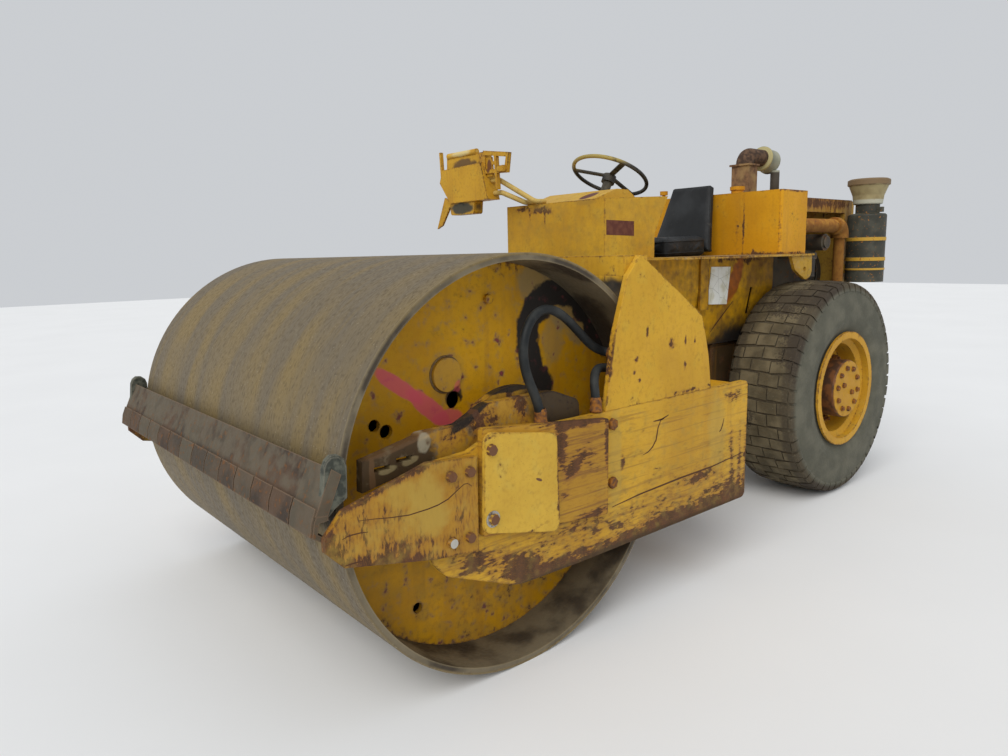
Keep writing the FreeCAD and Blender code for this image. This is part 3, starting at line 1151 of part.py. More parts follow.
muffler = joined("muffler_all", [
    turned("muffler_can", "XZ_Plane", "H_Axis", (
        (-INLET_DEPTH, 0), (-INLET_DEPTH, size("pipe_radius") + 3), (0, size("pipe_radius") + 3),
        (0, muffler_radius + 4, 4), (-16, muffler_radius + 4, 4), (-16, muffler_radius),
        (muffler_end + 16, muffler_radius), (muffler_end + 16, muffler_radius + 4),
        (muffler_end, muffler_radius + 4), (muffler_end, TAIL_RADIUS),
        (muffler_end - TAIL_LENGTH, TAIL_RADIUS), (muffler_end - TAIL_LENGTH, TAIL_RADIUS - 4),
        (muffler_end + 30, TAIL_RADIUS - 4), (muffler_end + 30, 0),
    ), (MUFFLER_FRONT, 0, muffler_z)),
    rod("muffler_post", 31, muffler_z - rail_top - seat_gap - muffler_radius + 10,
        (-3360, 0, rail_top + seat_gap), "z"),
])
finish(muffler, "muffler")

# Air cleaner: a banded canister on brackets, with a bowl pre-cleaner on its neck.
cleaner_radius = size("cleaner_radius")
cleaner_at = (-size("cleaner_x"), size("cleaner_y"), 0)
cleaner_low = size("cleaner_low")
CLEANER_TOP = 1741
NECK_TOP = 1806
NECK = 76
BAND_OUT = 4
# Bands round the canister: the height of the middle and half the width.
CLEANER_BANDS = ((1369, 7), (1437, 12), (1572, 12))
can_section = [(0, cleaner_low), (cleaner_radius, cleaner_low)]
for middle, half in CLEANER_BANDS:
    can_section += [(cleaner_radius, middle - half), (cleaner_radius + BAND_OUT, middle - half),
                    (cleaner_radius + BAND_OUT, middle + half), (cleaner_radius, middle + half)]
can_section += [(cleaner_radius, CLEANER_TOP, 16), (NECK, CLEANER_TOP + 6), (NECK, NECK_TOP), (0, NECK_TOP)]
brackets = [turned("can", "XZ_Plane", "V_Axis", can_section, cleaner_at),
            box("neck_clamp", 30, 34, 34, (cleaner_at[0] - 15, cleaner_at[1] + NECK - 6, 1752))]
for number, up in enumerate((1340, 1620)):
    brackets.append(box("cleaner_bracket_%d" % number, 60, 60, 60,
                        (cleaner_at[0] - 30, RAIL_HALF + seat_gap, up)))
finish(joined("canister", brackets), "air_cleaner")
BOWL_TOP = 1980
bowl = turned("bowl", "XZ_Plane", "V_Axis", (
    (0, NECK_TOP + seat_gap), (92, NECK_TOP + seat_gap, 10), (99, NECK_TOP + 60), (124, BOWL_TOP - 50),
    (134, BOWL_TOP - 46, 5), (134, BOWL_TOP - 12, 5), (118, BOWL_TOP - 4), (0, BOWL_TOP),
), cleaner_at)
finish(bowl, "precleaner_bowl")

# All pieces move along X so that the origin lies under the middle of the machine.
doc.recompute()
low_x = min(piece.Shape.BoundBox.XMin for piece in pieces)
high_x = max(piece.Shape.BoundBox.XMax for piece in pieces)
shift = FreeCAD.Placement(FreeCAD.Vector(-(low_x + high_x) / 2, 0, 0), FreeCAD.Rotation())
for piece in pieces:
    piece.Placement = shift * piece.Placement
doc.recompute()

failed = [item.Label for item in doc.Objects if "Invalid" in item.State or "Error" in item.State]
if failed:
    raise RuntimeError("these did not compute: " + ", ".join(failed))
for piece in pieces:
    if piece.Shape.isNull() or not piece.Shape.isValid():
        raise RuntimeError("this has no sound shape: " + piece.Label)

os.makedirs("parts", exist_ok=True)
for piece in pieces:
    piece.Shape.exportStep("parts/%s.step" % piece.Label)
print(len(pieces), "pieces, shifted by", round(shift.Base.x, 3))
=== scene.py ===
import math
import random

import bmesh
import bpy
from mathutils import Matrix, Vector


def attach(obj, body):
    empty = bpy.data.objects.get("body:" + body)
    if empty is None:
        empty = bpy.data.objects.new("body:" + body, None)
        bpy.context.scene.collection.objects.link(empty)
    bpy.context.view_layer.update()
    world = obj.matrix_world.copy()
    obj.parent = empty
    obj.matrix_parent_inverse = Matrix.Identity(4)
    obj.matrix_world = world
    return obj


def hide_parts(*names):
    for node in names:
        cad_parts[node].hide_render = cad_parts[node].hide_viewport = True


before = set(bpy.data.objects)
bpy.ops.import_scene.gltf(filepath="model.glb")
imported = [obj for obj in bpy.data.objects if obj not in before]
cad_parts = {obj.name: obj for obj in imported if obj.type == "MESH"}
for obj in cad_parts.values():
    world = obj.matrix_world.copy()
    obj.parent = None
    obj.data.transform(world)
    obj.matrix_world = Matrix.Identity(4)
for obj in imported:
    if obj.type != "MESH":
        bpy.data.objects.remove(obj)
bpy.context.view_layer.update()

# Studio: a pale floor under a white sky, one wide soft sun from ahead and to the left,
# and the camera where the photograph was taken from, in front and to the left.
CAMERA_AT = Vector((3.21244, 2.91181, 1.51554))
CAMERA_RIGHT = Vector((-0.76166634, 0.64761982, -0.02128256))
CAMERA_UP = Vector((-0.12246959, -0.11162822, 0.98617460))
CAMERA_BACK = Vector((0.63629049, 0.75374247, 0.16433719))
FLOOR_HALF = 30.0

camera_data = bpy.data.cameras.new("camera")
camera_data.sensor_width = 36.0
camera_data.lens = 26.306
camera_data.clip_end = 200.0
camera = bpy.data.objects.new("camera", camera_data)
camera.matrix_world = Matrix.Translation(CAMERA_AT) @ Matrix(
    (CAMERA_RIGHT, CAMERA_UP, CAMERA_BACK)).transposed().to_4x4()
bpy.context.collection.objects.link(camera)
bpy.context.scene.camera = camera
bpy.context.scene.view_settings.view_transform = "Standard"

sky = bpy.data.worlds.new("sky")
sky.use_nodes = True
sky.node_tree.nodes["Background"].inputs["Color"].default_value = (0.93, 0.96, 1.0, 1.0)
sky.node_tree.nodes["Background"].inputs["Strength"].default_value = 0.64
bpy.context.scene.world = sky

sun_data = bpy.data.lights.new("sun", "SUN")
sun_data.energy = 1.9
sun_data.angle = math.radians(50)
sun_data.color = (1.0, 0.97, 0.92)
sun = bpy.data.objects.new("sun", sun_data)
sun.rotation_euler = Vector((0.70, 0.42, 0.75)).to_track_quat("Z", "Y").to_euler()
bpy.context.collection.objects.link(sun)


def node(tree, kind, sockets=None, **settings):
    """Adds a shader node and fills its sockets with numbers, colours or links."""
    made = tree.nodes.new("ShaderNode" + kind)
    for setting, value in settings.items():
        setattr(made, setting, value)
    for socket, value in (sockets or {}).items():
        if isinstance(value, bpy.types.NodeSocket):
            tree.links.new(value, made.inputs[socket])
        else:
            made.inputs[socket].default_value = value
    return made


def ramp(tree, value, low, high, start=0.0, end=1.0):
    """A soft step: start where value is low, end where it is high."""
    return node(tree, "MapRange", {"Value": value, "From Min": low, "From Max": high,
                                   "To Min": start, "To Max": end},
                interpolation_type="SMOOTHSTEP").outputs[0]


def sum_of(tree, first, second, operation="ADD"):
    return node(tree, "Math", {0: first, 1: second}, operation=operation).outputs[0]


def layered(tree, amount, under, over):
    """The colour over laid on the colour under where amount is high."""
    return node(tree, "Mix", {0: amount, 6: under, 7: over}, data_type="RGBA").outputs[2]


def grain(tree, where, scale, detail=4.0, stretch=None):
    """Cloudy variation from 0 to 1, of about 1/scale metres."""
    if stretch is not None:
        where = node(tree, "Mapping", {"Vector": where, "Scale": stretch}).outputs[0]
    return node(tree, "TexNoise", {"Vector": where, "Scale": scale, "Detail": detail}).outputs[0]


def piece_place(tree):
    """Where a point lies on its own piece, in metres."""
    return node(tree, "TexCoord").outputs["Object"]


def opaque(colour):
    return tuple(colour) + (1.0,)


floor_material = bpy.data.materials.new("pale_floor")
floor_material.use_nodes = True
floor_tree = floor_material.node_tree
floor_shade = layered(floor_tree, grain(floor_tree, piece_place(floor_tree), 0.8),
                      (0.78, 0.79, 0.80, 1.0), (0.84, 0.85, 0.86, 1.0))
floor_tree.links.new(floor_shade, floor_tree.nodes["Principled BSDF"].inputs["Base Color"])
floor_tree.nodes["Principled BSDF"].inputs["Roughness"].default_value = 0.9
floor_mesh = bpy.data.meshes.new("floor")
floor_mesh.from_pydata([(-FLOOR_HALF, -FLOOR_HALF, 0), (FLOOR_HALF, -FLOOR_HALF, 0),
                        (FLOOR_HALF, FLOOR_HALF, 0), (-FLOOR_HALF, FLOOR_HALF, 0)], [], [(0, 1, 2, 3)])
floor = bpy.data.objects.new("floor", floor_mesh)
floor_mesh.materials.append(floor_material)
bpy.context.collection.objects.link(floor)


# Drum: a rolled steel shell, ground bright once and now brown with dust and thin
# rust, in bands that run round it. Inside the rim old soil clings to the steel.
RUST_ORANGE = (0.30, 0.120, 0.020)
RUST_BROWN = (0.175, 0.072, 0.022)
RUST_PURPLE = (0.105, 0.047, 0.026)
RUST_DARK = (0.060, 0.030, 0.017)
SOIL = (0.115, 0.095, 0.066)
DRUM_RADIUS = 0.762


def at(x, y, z):
    """A spot given in millimetres from the drum's axle line and the ground."""
    return ((x + 1490.0) / 1000.0, y / 1000.0, z / 1000.0)


def finished(tree, colour, roughness, height, bump=0.002, metallic=0.0, strength=0.6, normal=None):
    """Connects colour, roughness and relief to the surface."""
    surface = tree.nodes["Principled BSDF"]
    surface.inputs["Specular IOR Level"].default_value = 0.25
    tree.links.new(colour, surface.inputs["Base Color"])
    if isinstance(roughness, float):
        surface.inputs["Roughness"].default_value = roughness
    else:
        tree.links.new(roughness, surface.inputs["Roughness"])
    surface.inputs["Metallic"].default_value = metallic
    relief = node(tree, "Bump", {"Strength": strength, "Distance": bump, "Height": height})
    if normal is not None:
        tree.links.new(normal, relief.inputs["Normal"])
    tree.links.new(relief.outputs[0], surface.inputs["Normal"])


def edges_of(tree, radius=0.012):
    """1 along the outer and inner edges of a piece, 0 on its flats."""
    rounded = node(tree, "Bevel", {"Radius": radius}, samples=4)
    facing = node(tree, "VectorMath", {0: rounded.outputs[0],
                                       1: node(tree, "NewGeometry").outputs["Normal"]},
                  operation="DOT_PRODUCT").outputs["Value"]
    return ramp(tree, facing, 0.995, 0.90)


def new_finish(name):
    material = bpy.data.materials.new(name)
    material.use_nodes = True
    return material, material.node_tree


def dress(name, material):
    """Gives a CAD node its finish."""
    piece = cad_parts[name]
    if not piece.material_slots:
        piece.data.materials.append(material)
    for slot in piece.material_slots:
        slot.material = material


def spot(tree, where, centre, reach, tilt=0.0):
    """1 in the middle of an ellipsoid, falling to 0 at its surface. Its front end is
    raised by a tilt in degrees."""
    local = node(tree, "Mapping", {"Vector": where, "Location": centre,
                                   "Rotation": (0.0, math.radians(-tilt), 0.0), "Scale": reach},
                 vector_type="TEXTURE")
    far = node(tree, "VectorMath", {0: local.outputs[0]}, operation="LENGTH").outputs["Value"]
    return node(tree, "MapRange", {"Value": far, "From Min": 1.0, "From Max": 0.0}).outputs[0]


def mark(shade, centre, reach, tilt=0.0, ragged=0.5, soft=0.06, strength=1.0):
    """A patch of another colour: where it is, how far it reaches, how ragged and how
    soft its edge is, and how much of what is under it is covered."""
    return shade, centre, reach, tilt, ragged, soft, strength


def painted_marks(tree, where, colour, marks):
    """Lays marks on a colour, the first one lowest."""
    noise = sum_of(tree, grain(tree, where, 22.0, 7.0), -0.5)
    for shade, centre, reach, tilt, ragged, soft, strength in marks:
        torn = sum_of(tree, noise, ragged, "MULTIPLY")
        inside = sum_of(tree, spot(tree, where, centre, reach, tilt), torn)
        cover = ramp(tree, inside, 0.20 - soft, 0.20 + soft, 0.0, strength)
        colour = layered(tree, cover, colour, opaque(shade))
    return colour


def from_axle(tree, where, centre):
    """Distance from an axle along Y, in metres, and the turn round it."""
    local = node(tree, "VectorMath", {0: where, 1: centre}, operation="SUBTRACT").outputs[0]
    parts = node(tree, "SeparateXYZ", {0: local}).outputs
    flat = node(tree, "CombineXYZ", {0: parts[0], 2: parts[2]}).outputs[0]
    far = node(tree, "VectorMath", {0: flat}, operation="LENGTH").outputs["Value"]
    turn = node(tree, "Math", {0: parts[2], 1: parts[0]}, operation="ARCTAN2").outputs[0]
    return far, turn, parts[1]


drum_finish, tree = new_finish("drum_steel")
where = piece_place(tree)
far, turn, along = from_axle(tree, where, at(0, 0, 762))
wrapped = node(tree, "CombineXYZ", {0: sum_of(tree, turn, 0.12, "MULTIPLY"), 1: along}).outputs[0]
bands = grain(tree, wrapped, 5.5, 1.0)
narrow = grain(tree, wrapped, 19.0, 2.0)
cloud = grain(tree, where, 3.0, 5.0)
speck = grain(tree, where, 150.0, 3.0)
scuff = grain(tree, where, 75.0, 6.0, (0.7, 1.3, 0.7))
steel = layered(tree, ramp(tree, bands, 0.38, 0.64), (0.148, 0.120, 0.080, 1.0), (0.205, 0.148, 0.062, 1.0))
steel = layered(tree, ramp(tree, narrow, 0.45, 0.70, 0.0, 0.45), steel, (0.215, 0.150, 0.055, 1.0))
steel = layered(tree, ramp(tree, cloud, 0.45, 0.75, 0.0, 0.6), steel, (0.165, 0.132, 0.084, 1.0))
steel = layered(tree, ramp(tree, scuff, 0.50, 0.72, 0.0, 0.55), steel, (0.080, 0.062, 0.042, 1.0))
steel = layered(tree, ramp(tree, speck, 0.66, 0.73, 0.0, 0.55), steel, (0.44, 0.40, 0.31, 1.0))
inside = ramp(tree, far, DRUM_RADIUS - 0.004, DRUM_RADIUS - 0.012)
mud = layered(tree, ramp(tree, grain(tree, where, 5.0, 6.0), 0.42, 0.62),
              (0.185, 0.152, 0.098, 1.0), (0.060, 0.047, 0.033, 1.0))
steel = layered(tree, inside, steel, mud)
steel = layered(tree, sum_of(tree, edges_of(tree, 0.010), 0.7, "MULTIPLY"), steel, (0.27, 0.215, 0.12, 1.0))
finished(tree, steel, ramp(tree, scuff, 0.3, 0.8, 0.52, 0.8),
         sum_of(tree, scuff, sum_of(tree, speck, 0.5, "MULTIPLY")), 0.0015, 0.15)
dress("drum_shell", drum_finish)

# Drum's end plates: orange-yellow paint on steel, darker and rusty round the rim.
# Grease and grass seed thrown up by the drive stuck on in a black arch, and someone
# sprayed a pink stroke across the plate.
PAINT_DEEP = (0.60, 0.305, 0.003)


def old_paint(name, paint, wear=0.25, streaks=0.4, rust=(), marks=(), dust=0.25, dust_top=1.0,
              gloss=0.50, ring=None, cover=None, lie=(1.0, 1.0, 1.0), scuffs=0.0):
    """Weathered paint: it fades in clouds, runs with rusty streaks, bleeds orange and
    flakes to dark rust along edges and at the rust spots, and carries dust low down.
    Each rust spot has a centre, a reach, a strength and a tilt. lie stretches the flakes
    the way the plate was worn, and scuffs is how much it is scored level."""
    material, tree = new_finish(name)
    where = piece_place(tree)
    cloud = grain(tree, where, 2.2, 3.0)
    blotch = grain(tree, where, 14.0, 7.0, lie)
    flakes = grain(tree, where, 60.0, 8.0, lie)
    crumbs = grain(tree, where, 210.0, 3.0, lie)
    runs = grain(tree, where, 7.0, 5.0, (3.2, 3.2, 0.30))
    fresh = (min(1.0, paint[0] * 1.08), min(1.0, paint[1] * 1.09), paint[2] * 1.1)
    dull = (paint[0] * 0.86, paint[1] * 0.82, paint[2] * 0.75)
    colour = layered(tree, ramp(tree, cloud, 0.35, 0.68), opaque(dull), opaque(fresh))
    colour = layered(tree, ramp(tree, blotch, 0.50, 0.72, 0.0, 0.40), colour,
                     (paint[0] * 0.94, paint[1] * 1.10, paint[2] * 1.6 + 0.010, 1.0))
    colour = layered(tree, ramp(tree, flakes, 0.46, 0.66, 0.0, 0.22), colour,
                     (paint[0] * 0.70, paint[1] * 0.60, paint[2] * 0.6, 1.0))
    colour = layered(tree, ramp(tree, crumbs, 0.64, 0.72, 0.0, 0.50), colour,
                     (paint[0] * 0.42, paint[1] * 0.34, paint[2] * 0.6, 1.0))
    colour = layered(tree, ramp(tree, runs, 0.50, 0.72, 0.0, streaks), colour, (0.33, 0.150, 0.018, 1.0))
    if scuffs > 0:
        scores = grain(tree, where, 8.0, 7.0, (0.30, 1.0, 9.0))
        colour = layered(tree, ramp(tree, scores, 0.52, 0.66, 0.0, scuffs), colour, opaque(RUST_BROWN))
    edge = edges_of(tree)
    level = sum_of(tree, sum_of(tree, edge, 0.40, "MULTIPLY"), wear * 0.42)
    for centre, reach, strength, tilt in rust:
        near = sum_of(tree, spot(tree, where, centre, reach, tilt), strength, "MULTIPLY")
        level = sum_of(tree, level, near)
    if ring is not None:
        far = from_axle(tree, where, ring[0])[0]
        level = sum_of(tree, level, ramp(tree, far, ring[1], ring[2], 0.0, ring[3]))
    rough = sum_of(tree, sum_of(tree, blotch, -0.5), sum_of(tree, flakes, -0.5))
    stain = ramp(tree, sum_of(tree, level, sum_of(tree, rough, 1.1, "MULTIPLY")), 0.16, 0.80, 0.0, 0.78)
    grit = sum_of(tree, sum_of(tree, crumbs, -0.5), 0.6, "MULTIPLY")
    chip_noise = sum_of(tree, grit, sum_of(tree, rough, 1.6, "MULTIPLY"))
    chip = ramp(tree, sum_of(tree, level, chip_noise), 0.58, 0.74, 0.0, 0.94)
    bled = layered(tree, ramp(tree, flakes, 0.40, 0.60), opaque(RUST_ORANGE), opaque(RUST_BROWN))
    colour = layered(tree, stain, colour, bled)
    scale_colour = layered(tree, ramp(tree, runs, 0.35, 0.65), opaque(RUST_PURPLE), opaque(RUST_DARK))
    scale_colour = layered(tree, ramp(tree, crumbs, 0.48, 0.62, 0.0, 0.55), scale_colour, opaque(RUST_BROWN))
    colour = layered(tree, chip, colour, scale_colour)
    colour = painted_marks(tree, where, colour, marks)
    if cover is not None:
        colour = cover(tree, where, colour)
    height = node(tree, "SeparateXYZ", {0: where}).outputs[2]
    low = sum_of(tree, ramp(tree, height, dust_top, 0.1), ramp(tree, blotch, 0.35, 0.65), "MULTIPLY")
    colour = layered(tree, sum_of(tree, low, dust, "MULTIPLY"), colour, opaque(SOIL))
    roughness = sum_of(tree, sum_of(tree, chip, 0.35, "MULTIPLY"),
                       ramp(tree, blotch, 0.3, 0.7, gloss, gloss + 0.16))
    relief = sum_of(tree, sum_of(tree, flakes, 0.45, "MULTIPLY"), sum_of(tree, chip, -0.8, "MULTIPLY"))
    finished(tree, colour, roughness, relief, 0.0012)
    return material


# Black mud; the same colour also serves as painted shade.
BLACK_MUD_AND_SHADE = (0.022, 0.018, 0.015)
PALE_DUST = (0.42, 0.38, 0.27)
DULL_DUST = (0.26, 0.195, 0.090)
PINK_SPRAY = (0.66, 0.095, 0.125)
HEAD_MARKS = (
    mark(DULL_DUST, at(-262, 0, 1410), (0.135, 9, 0.100), 0, 0.8, 0.18, 0.75),
    mark(DULL_DUST, at(-470, 0, 1240), (0.210, 9, 0.095), 35, 0.9, 0.20, 0.75),
    mark(DULL_DUST, at(-345, 0, 1175), (0.075, 9, 0.130), 0, 0.9, 0.20, 0.45),
    mark(DULL_DUST, at(190, 0, 1085), (0.110, 9, 0.120), 0, 0.9, 0.25, 0.30),
    mark(BLACK_MUD_AND_SHADE, at(-270, 0, 1000), (0.085, 9, 0.090), 0, 0.7, 0.10),
    mark(BLACK_MUD_AND_SHADE, at(-225, 0, 1110), (0.070, 9, 0.150), -8, 0.6, 0.10),
    mark(BLACK_MUD_AND_SHADE, at(-205, 0, 1215), (0.075, 9, 0.130), 6, 0.6, 0.10),
    mark(BLACK_MUD_AND_SHADE, at(-262, 0, 1310), (0.120, 9, 0.085), -30, 0.6, 0.10),
    mark(BLACK_MUD_AND_SHADE, at(-390, 0, 1365), (0.180, 9, 0.075), 0, 0.7, 0.10),
    mark(BLACK_MUD_AND_SHADE, at(-530, 0, 1290), (0.170, 9, 0.075), 38, 0.9, 0.10),
    mark(BLACK_MUD_AND_SHADE, at(-610, 0, 1170), (0.140, 9, 0.080), 48, 0.9, 0.10),
    mark(BLACK_MUD_AND_SHADE, at(160, 0, 1010), (0.048, 9, 0.052), 0, 1.0, 0.08, 0.9),
    mark(PINK_SPRAY, at(395, 0, 1080), (0.150, 9, 0.034), 36, 0.35, 0.12, 0.85),
    mark(PINK_SPRAY, at(270, 0, 985), (0.150, 9, 0.042), 40, 0.35, 0.12, 0.85),
    mark(PINK_SPRAY, at(190, 0, 938), (0.085, 9, 0.036), 0, 0.5, 0.12, 0.80),
    mark(PINK_SPRAY, at(150, 0, 1045), (0.026, 9, 0.030), 0, 0.8, 0.15, 0.55),
)
drum_centre = at(0, 0, 762)
head_finish = old_paint("drum_head_paint", PAINT_DEEP, 0.0, 0.30,
                        rust=((at(0, 0, 190), (0.75, 9, 0.20), 0.32, 0),
                              (at(100, 0, 1450), (0.50, 9, 0.09), 0.22, 0),
                              (at(-560, 0, 1330), (0.35, 9, 0.30), 0.12, 0)),
                        marks=HEAD_MARKS, dust=0.25, ring=(drum_centre, 0.68, 0.745, 0.34))
dress("drum_heads", head_finish)


def mesh_piece(name, points, faces, material, body, smooth=False):
    """Makes a piece from corner points and faces, and hangs it on a body."""
    mesh = bpy.data.meshes.new(name)
    mesh.from_pydata([tuple(point) for point in points], [], faces)
    mesh.validate()
    mesh.materials.append(material)
    mesh.polygons.foreach_set("use_smooth", [smooth] * len(mesh.polygons))
    piece = bpy.data.objects.new(name, mesh)
    bpy.context.collection.objects.link(piece)
    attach(piece, body)
    return piece


def lathe(outline, centre, axis, sides=48):
    """Points and faces of an outline, given along the axis and out from it, turned
    about that axis."""
    axis = Vector(axis).normalized()
    across = axis.orthogonal().normalized()
    other = axis.cross(across)
    points = []
    for step in range(sides):
        turn = 2 * math.pi * step / sides
        outward = across * math.cos(turn) + other * math.sin(turn)
        points += [Vector(centre) + axis * along + outward * out for along, out in outline]
    faces = []
    count = len(outline)
    for step in range(sides):
        ahead = (step + 1) % sides
        for row in range(count - 1):
            faces.append((step * count + row, step * count + row + 1,
                          ahead * count + row + 1, ahead * count + row))
    return points, faces


def grown(points, faces, more_points, more_faces):
    """Adds one shape's points and faces to another's lists."""
    offset = len(points)
    points += more_points
    faces += [tuple(corner + offset for corner in face) for face in more_faces]


# Each of the drum's covers is a pressed cap held by small screws. Each cap sits in a
# ring of sealing compound that has cracked and gone dark.
compound, tree = new_finish("old_compound")
where = piece_place(tree)
crumb = grain(tree, where, 90.0, 5.0)
finished(tree, layered(tree, crumb, (0.05, 0.035, 0.02, 1.0), (0.30, 0.19, 0.08, 1.0)),
         ramp(tree, crumb, 0.3, 0.7, 0.7, 0.9), crumb, 0.002)
seal_points = []
seal_faces = []
for side in (1, -1):
    for forward, up in ((195, 335), (-195, -335)):
        seat = at(forward, side * 775, 762 + up)
        ring_outline = ((0.0, 0.0615), (0.0045, 0.063), (0.005, 0.066), (0.0035, 0.069), (0.0, 0.070))
        grown(seal_points, seal_faces, *lathe(ring_outline, seat, (0, side, 0), 40))
mesh_piece("cover_seals", seal_points, seal_faces, compound, "drum", True)

# Bolts and nuts: forged hexagon heads, gone brown, some with thick washers. They are
# the old machine's own, drawn up tight on its plates.
bolt_finish, tree = new_finish("rusty_bolts")
where = piece_place(tree)
crust = grain(tree, where, 70.0, 5.0)
finished(tree, layered(tree, ramp(tree, crust, 0.35, 0.65), opaque(RUST_PURPLE), opaque(RUST_ORANGE)),
         ramp(tree, crust, 0.3, 0.7, 0.6, 0.85), crust, 0.001, 0.2)
bright_finish, tree = new_finish("bare_bolts")
where = piece_place(tree)
crust = grain(tree, where, 90.0, 4.0)
finished(tree, layered(tree, ramp(tree, crust, 0.5, 0.7), (0.42, 0.41, 0.38, 1.0), (0.16, 0.12, 0.09, 1.0)),
         ramp(tree, crust, 0.3, 0.7, 0.35, 0.6), crust, 0.0006, 0.7)


def hexagon_bolt(points, faces, seat, axis, across=0.030, height=0.013, washer=0.0, stud=0.0, turn=0.3):
    """A hexagon head with a chamfered top, and a washer or a stud's end if it has one."""
    axis = Vector(axis).normalized()
    side = axis.orthogonal().normalized()
    other = axis.cross(side)
    base = Vector(seat)
    if washer > 0:
        disc = ((0.0, 0.0), (0.0, washer - 0.0005), (0.0028, washer), (0.0035, washer - 0.002), (0.0035, 0.0))
        grown(points, faces, *lathe(disc, base, axis, 24))
        base = base + axis * 0.0034
    corner = across / math.sqrt(3)
    rings = ((0.0, corner), (height * 0.82, corner), (height, corner * 0.84))
    head = []
    for along, out in rings:
        for step in range(6):
            angle = turn + math.pi * step / 3
            head.append(base + axis * along + (side * math.cos(angle) + other * math.sin(angle)) * out)
    walls = []
    for ring in range(2):
        for step in range(6):
            ahead = (step + 1) % 6
            walls.append((ring * 6 + step, ring * 6 + ahead, ring * 6 + 6 + ahead, ring * 6 + 6 + step))
    walls.append(tuple(range(12, 18)))
    walls.append(tuple(reversed(range(6))))
    grown(points, faces, head, walls)
    if stud > 0:
        end = ((0.0, across * 0.30), (stud - 0.002, across * 0.30), (stud, across * 0.24), (stud, 0.0))
        grown(points, faces, *lathe(end, base + axis * height, axis, 12))


def bolts(name, spots, material, body, across=0.030, height=0.013, washer=0.0, stud=0.0):
    """One piece with a bolt at each spot. A spot has a place and the way it points."""
    points = []
    faces = []
    for number, (seat, axis) in enumerate(spots):
        hexagon_bolt(points, faces, seat, axis, across, height, washer, stud, 0.3 + 0.7 * number)
    return mesh_piece(name, points, faces, material, body)


# Scraper: a bent steel beam across the drum's front. Old edge segments are bolted to
# its face in a row, and the blade over them slopes back to the drum. A dark rubber
# flap closes each end.
SEGMENT_PITCH = 2.08 / 14
rust_finish, tree = new_finish("deep_rust")
where = piece_place(tree)
parts = node(tree, "SeparateXYZ", {0: where}).outputs
crust = grain(tree, where, 45.0, 7.0)
patch = grain(tree, where, 7.0, 6.0)
number = node(tree, "Math", {0: sum_of(tree, sum_of(tree, parts[1], 1.04), 1 / SEGMENT_PITCH, "MULTIPLY")},
              operation="FLOOR").outputs[0]
tone = node(tree, "TexWhiteNoise", {"W": number}, noise_dimensions="1D").outputs["Value"]
brown = layered(tree, ramp(tree, patch, 0.38, 0.62), (0.090, 0.056, 0.035, 1.0), (0.046, 0.033, 0.024, 1.0))
brown = layered(tree, ramp(tree, tone, 0.35, 0.95, 0.0, 0.65), brown, (0.112, 0.096, 0.066, 1.0))
brown = layered(tree, ramp(tree, crust, 0.56, 0.70, 0.0, 0.7), brown, opaque(RUST_BROWN))
lip = sum_of(tree, ramp(tree, parts[2], 0.735, 0.715), ramp(tree, crust, 0.35, 0.55), "MULTIPLY")
brown = layered(tree, lip, brown, (0.185, 0.150, 0.088, 1.0))
slope = sum_of(tree, ramp(tree, parts[2], 0.815, 0.835), ramp(tree, grain(tree, where, 18.0, 6.0), 0.36, 0.60),
               "MULTIPLY")
brown = layered(tree, sum_of(tree, slope, 0.75, "MULTIPLY"), brown, opaque(SOIL))
brown = layered(tree, edges_of(tree, 0.006), brown, (0.165, 0.110, 0.070, 1.0))
finished(tree, brown, ramp(tree, crust, 0.3, 0.7, 0.72, 0.94), sum_of(tree, crust, patch), 0.004)
dress("scraper_beam", rust_finish)
dress("scraper_blades", rust_finish)
flap_finish, tree = new_finish("dark_flap_rubber")
where = piece_place(tree)
crust = grain(tree, where, 34.0, 6.0)
green = layered(tree, ramp(tree, crust, 0.40, 0.62), (0.040, 0.044, 0.035, 1.0), (0.115, 0.118, 0.092, 1.0))
finished(tree, layered(tree, edges_of(tree, 0.008), green, (0.16, 0.15, 0.115, 1.0)),
         ramp(tree, crust, 0.3, 0.7, 0.62, 0.9), crust, 0.002)
FLAP_OUTLINE = ((745, 826), (741, 922), (748, 945), (766, 960), (790, 962), (806, 950), (815, 930),
                (822, 868), (838, 806), (833, 786), (812, 779), (788, 800))
FLAP_WALL = 26
FLAP_END = 1038


def cut_plate(points, faces, outline, side, outer, wall, crown, inset):
    """An upright plate cut to an outline, from its outer face inwards, with eased edges."""
    middle = sum((Vector(at(x, side * outer, z)) for x, z in outline), Vector()) / len(outline)
    rings = []
    for reach, depth in ((inset, 0), (1.0, crown), (1.0, wall - crown), (inset, wall)):
        flat = [Vector(at(x, side * (outer - depth), z)) for x, z in outline]
        hub = Vector((middle.x, flat[0].y, middle.z))
        rings += [hub + (corner - hub) * reach for corner in flat]
    count = len(outline)
    walls = [tuple(range(count)), tuple(reversed(range(3 * count, 4 * count)))]
    for ring in range(3):
        for row in range(count):
            ahead = (row + 1) % count
            walls.append((ring * count + row, (ring + 1) * count + row, (ring + 1) * count + ahead,
                          ring * count + ahead))
    if side < 0:
        walls = [tuple(reversed(wall)) for wall in walls]
    grown(points, faces, rings, walls)


flap_points = []
flap_faces = []
for side in (1, -1):
    cut_plate(flap_points, flap_faces, FLAP_OUTLINE, side, FLAP_END, FLAP_WALL, 5, 0.93)
mesh_piece("scraper_flaps", flap_points, flap_faces, flap_finish, "front_frame")

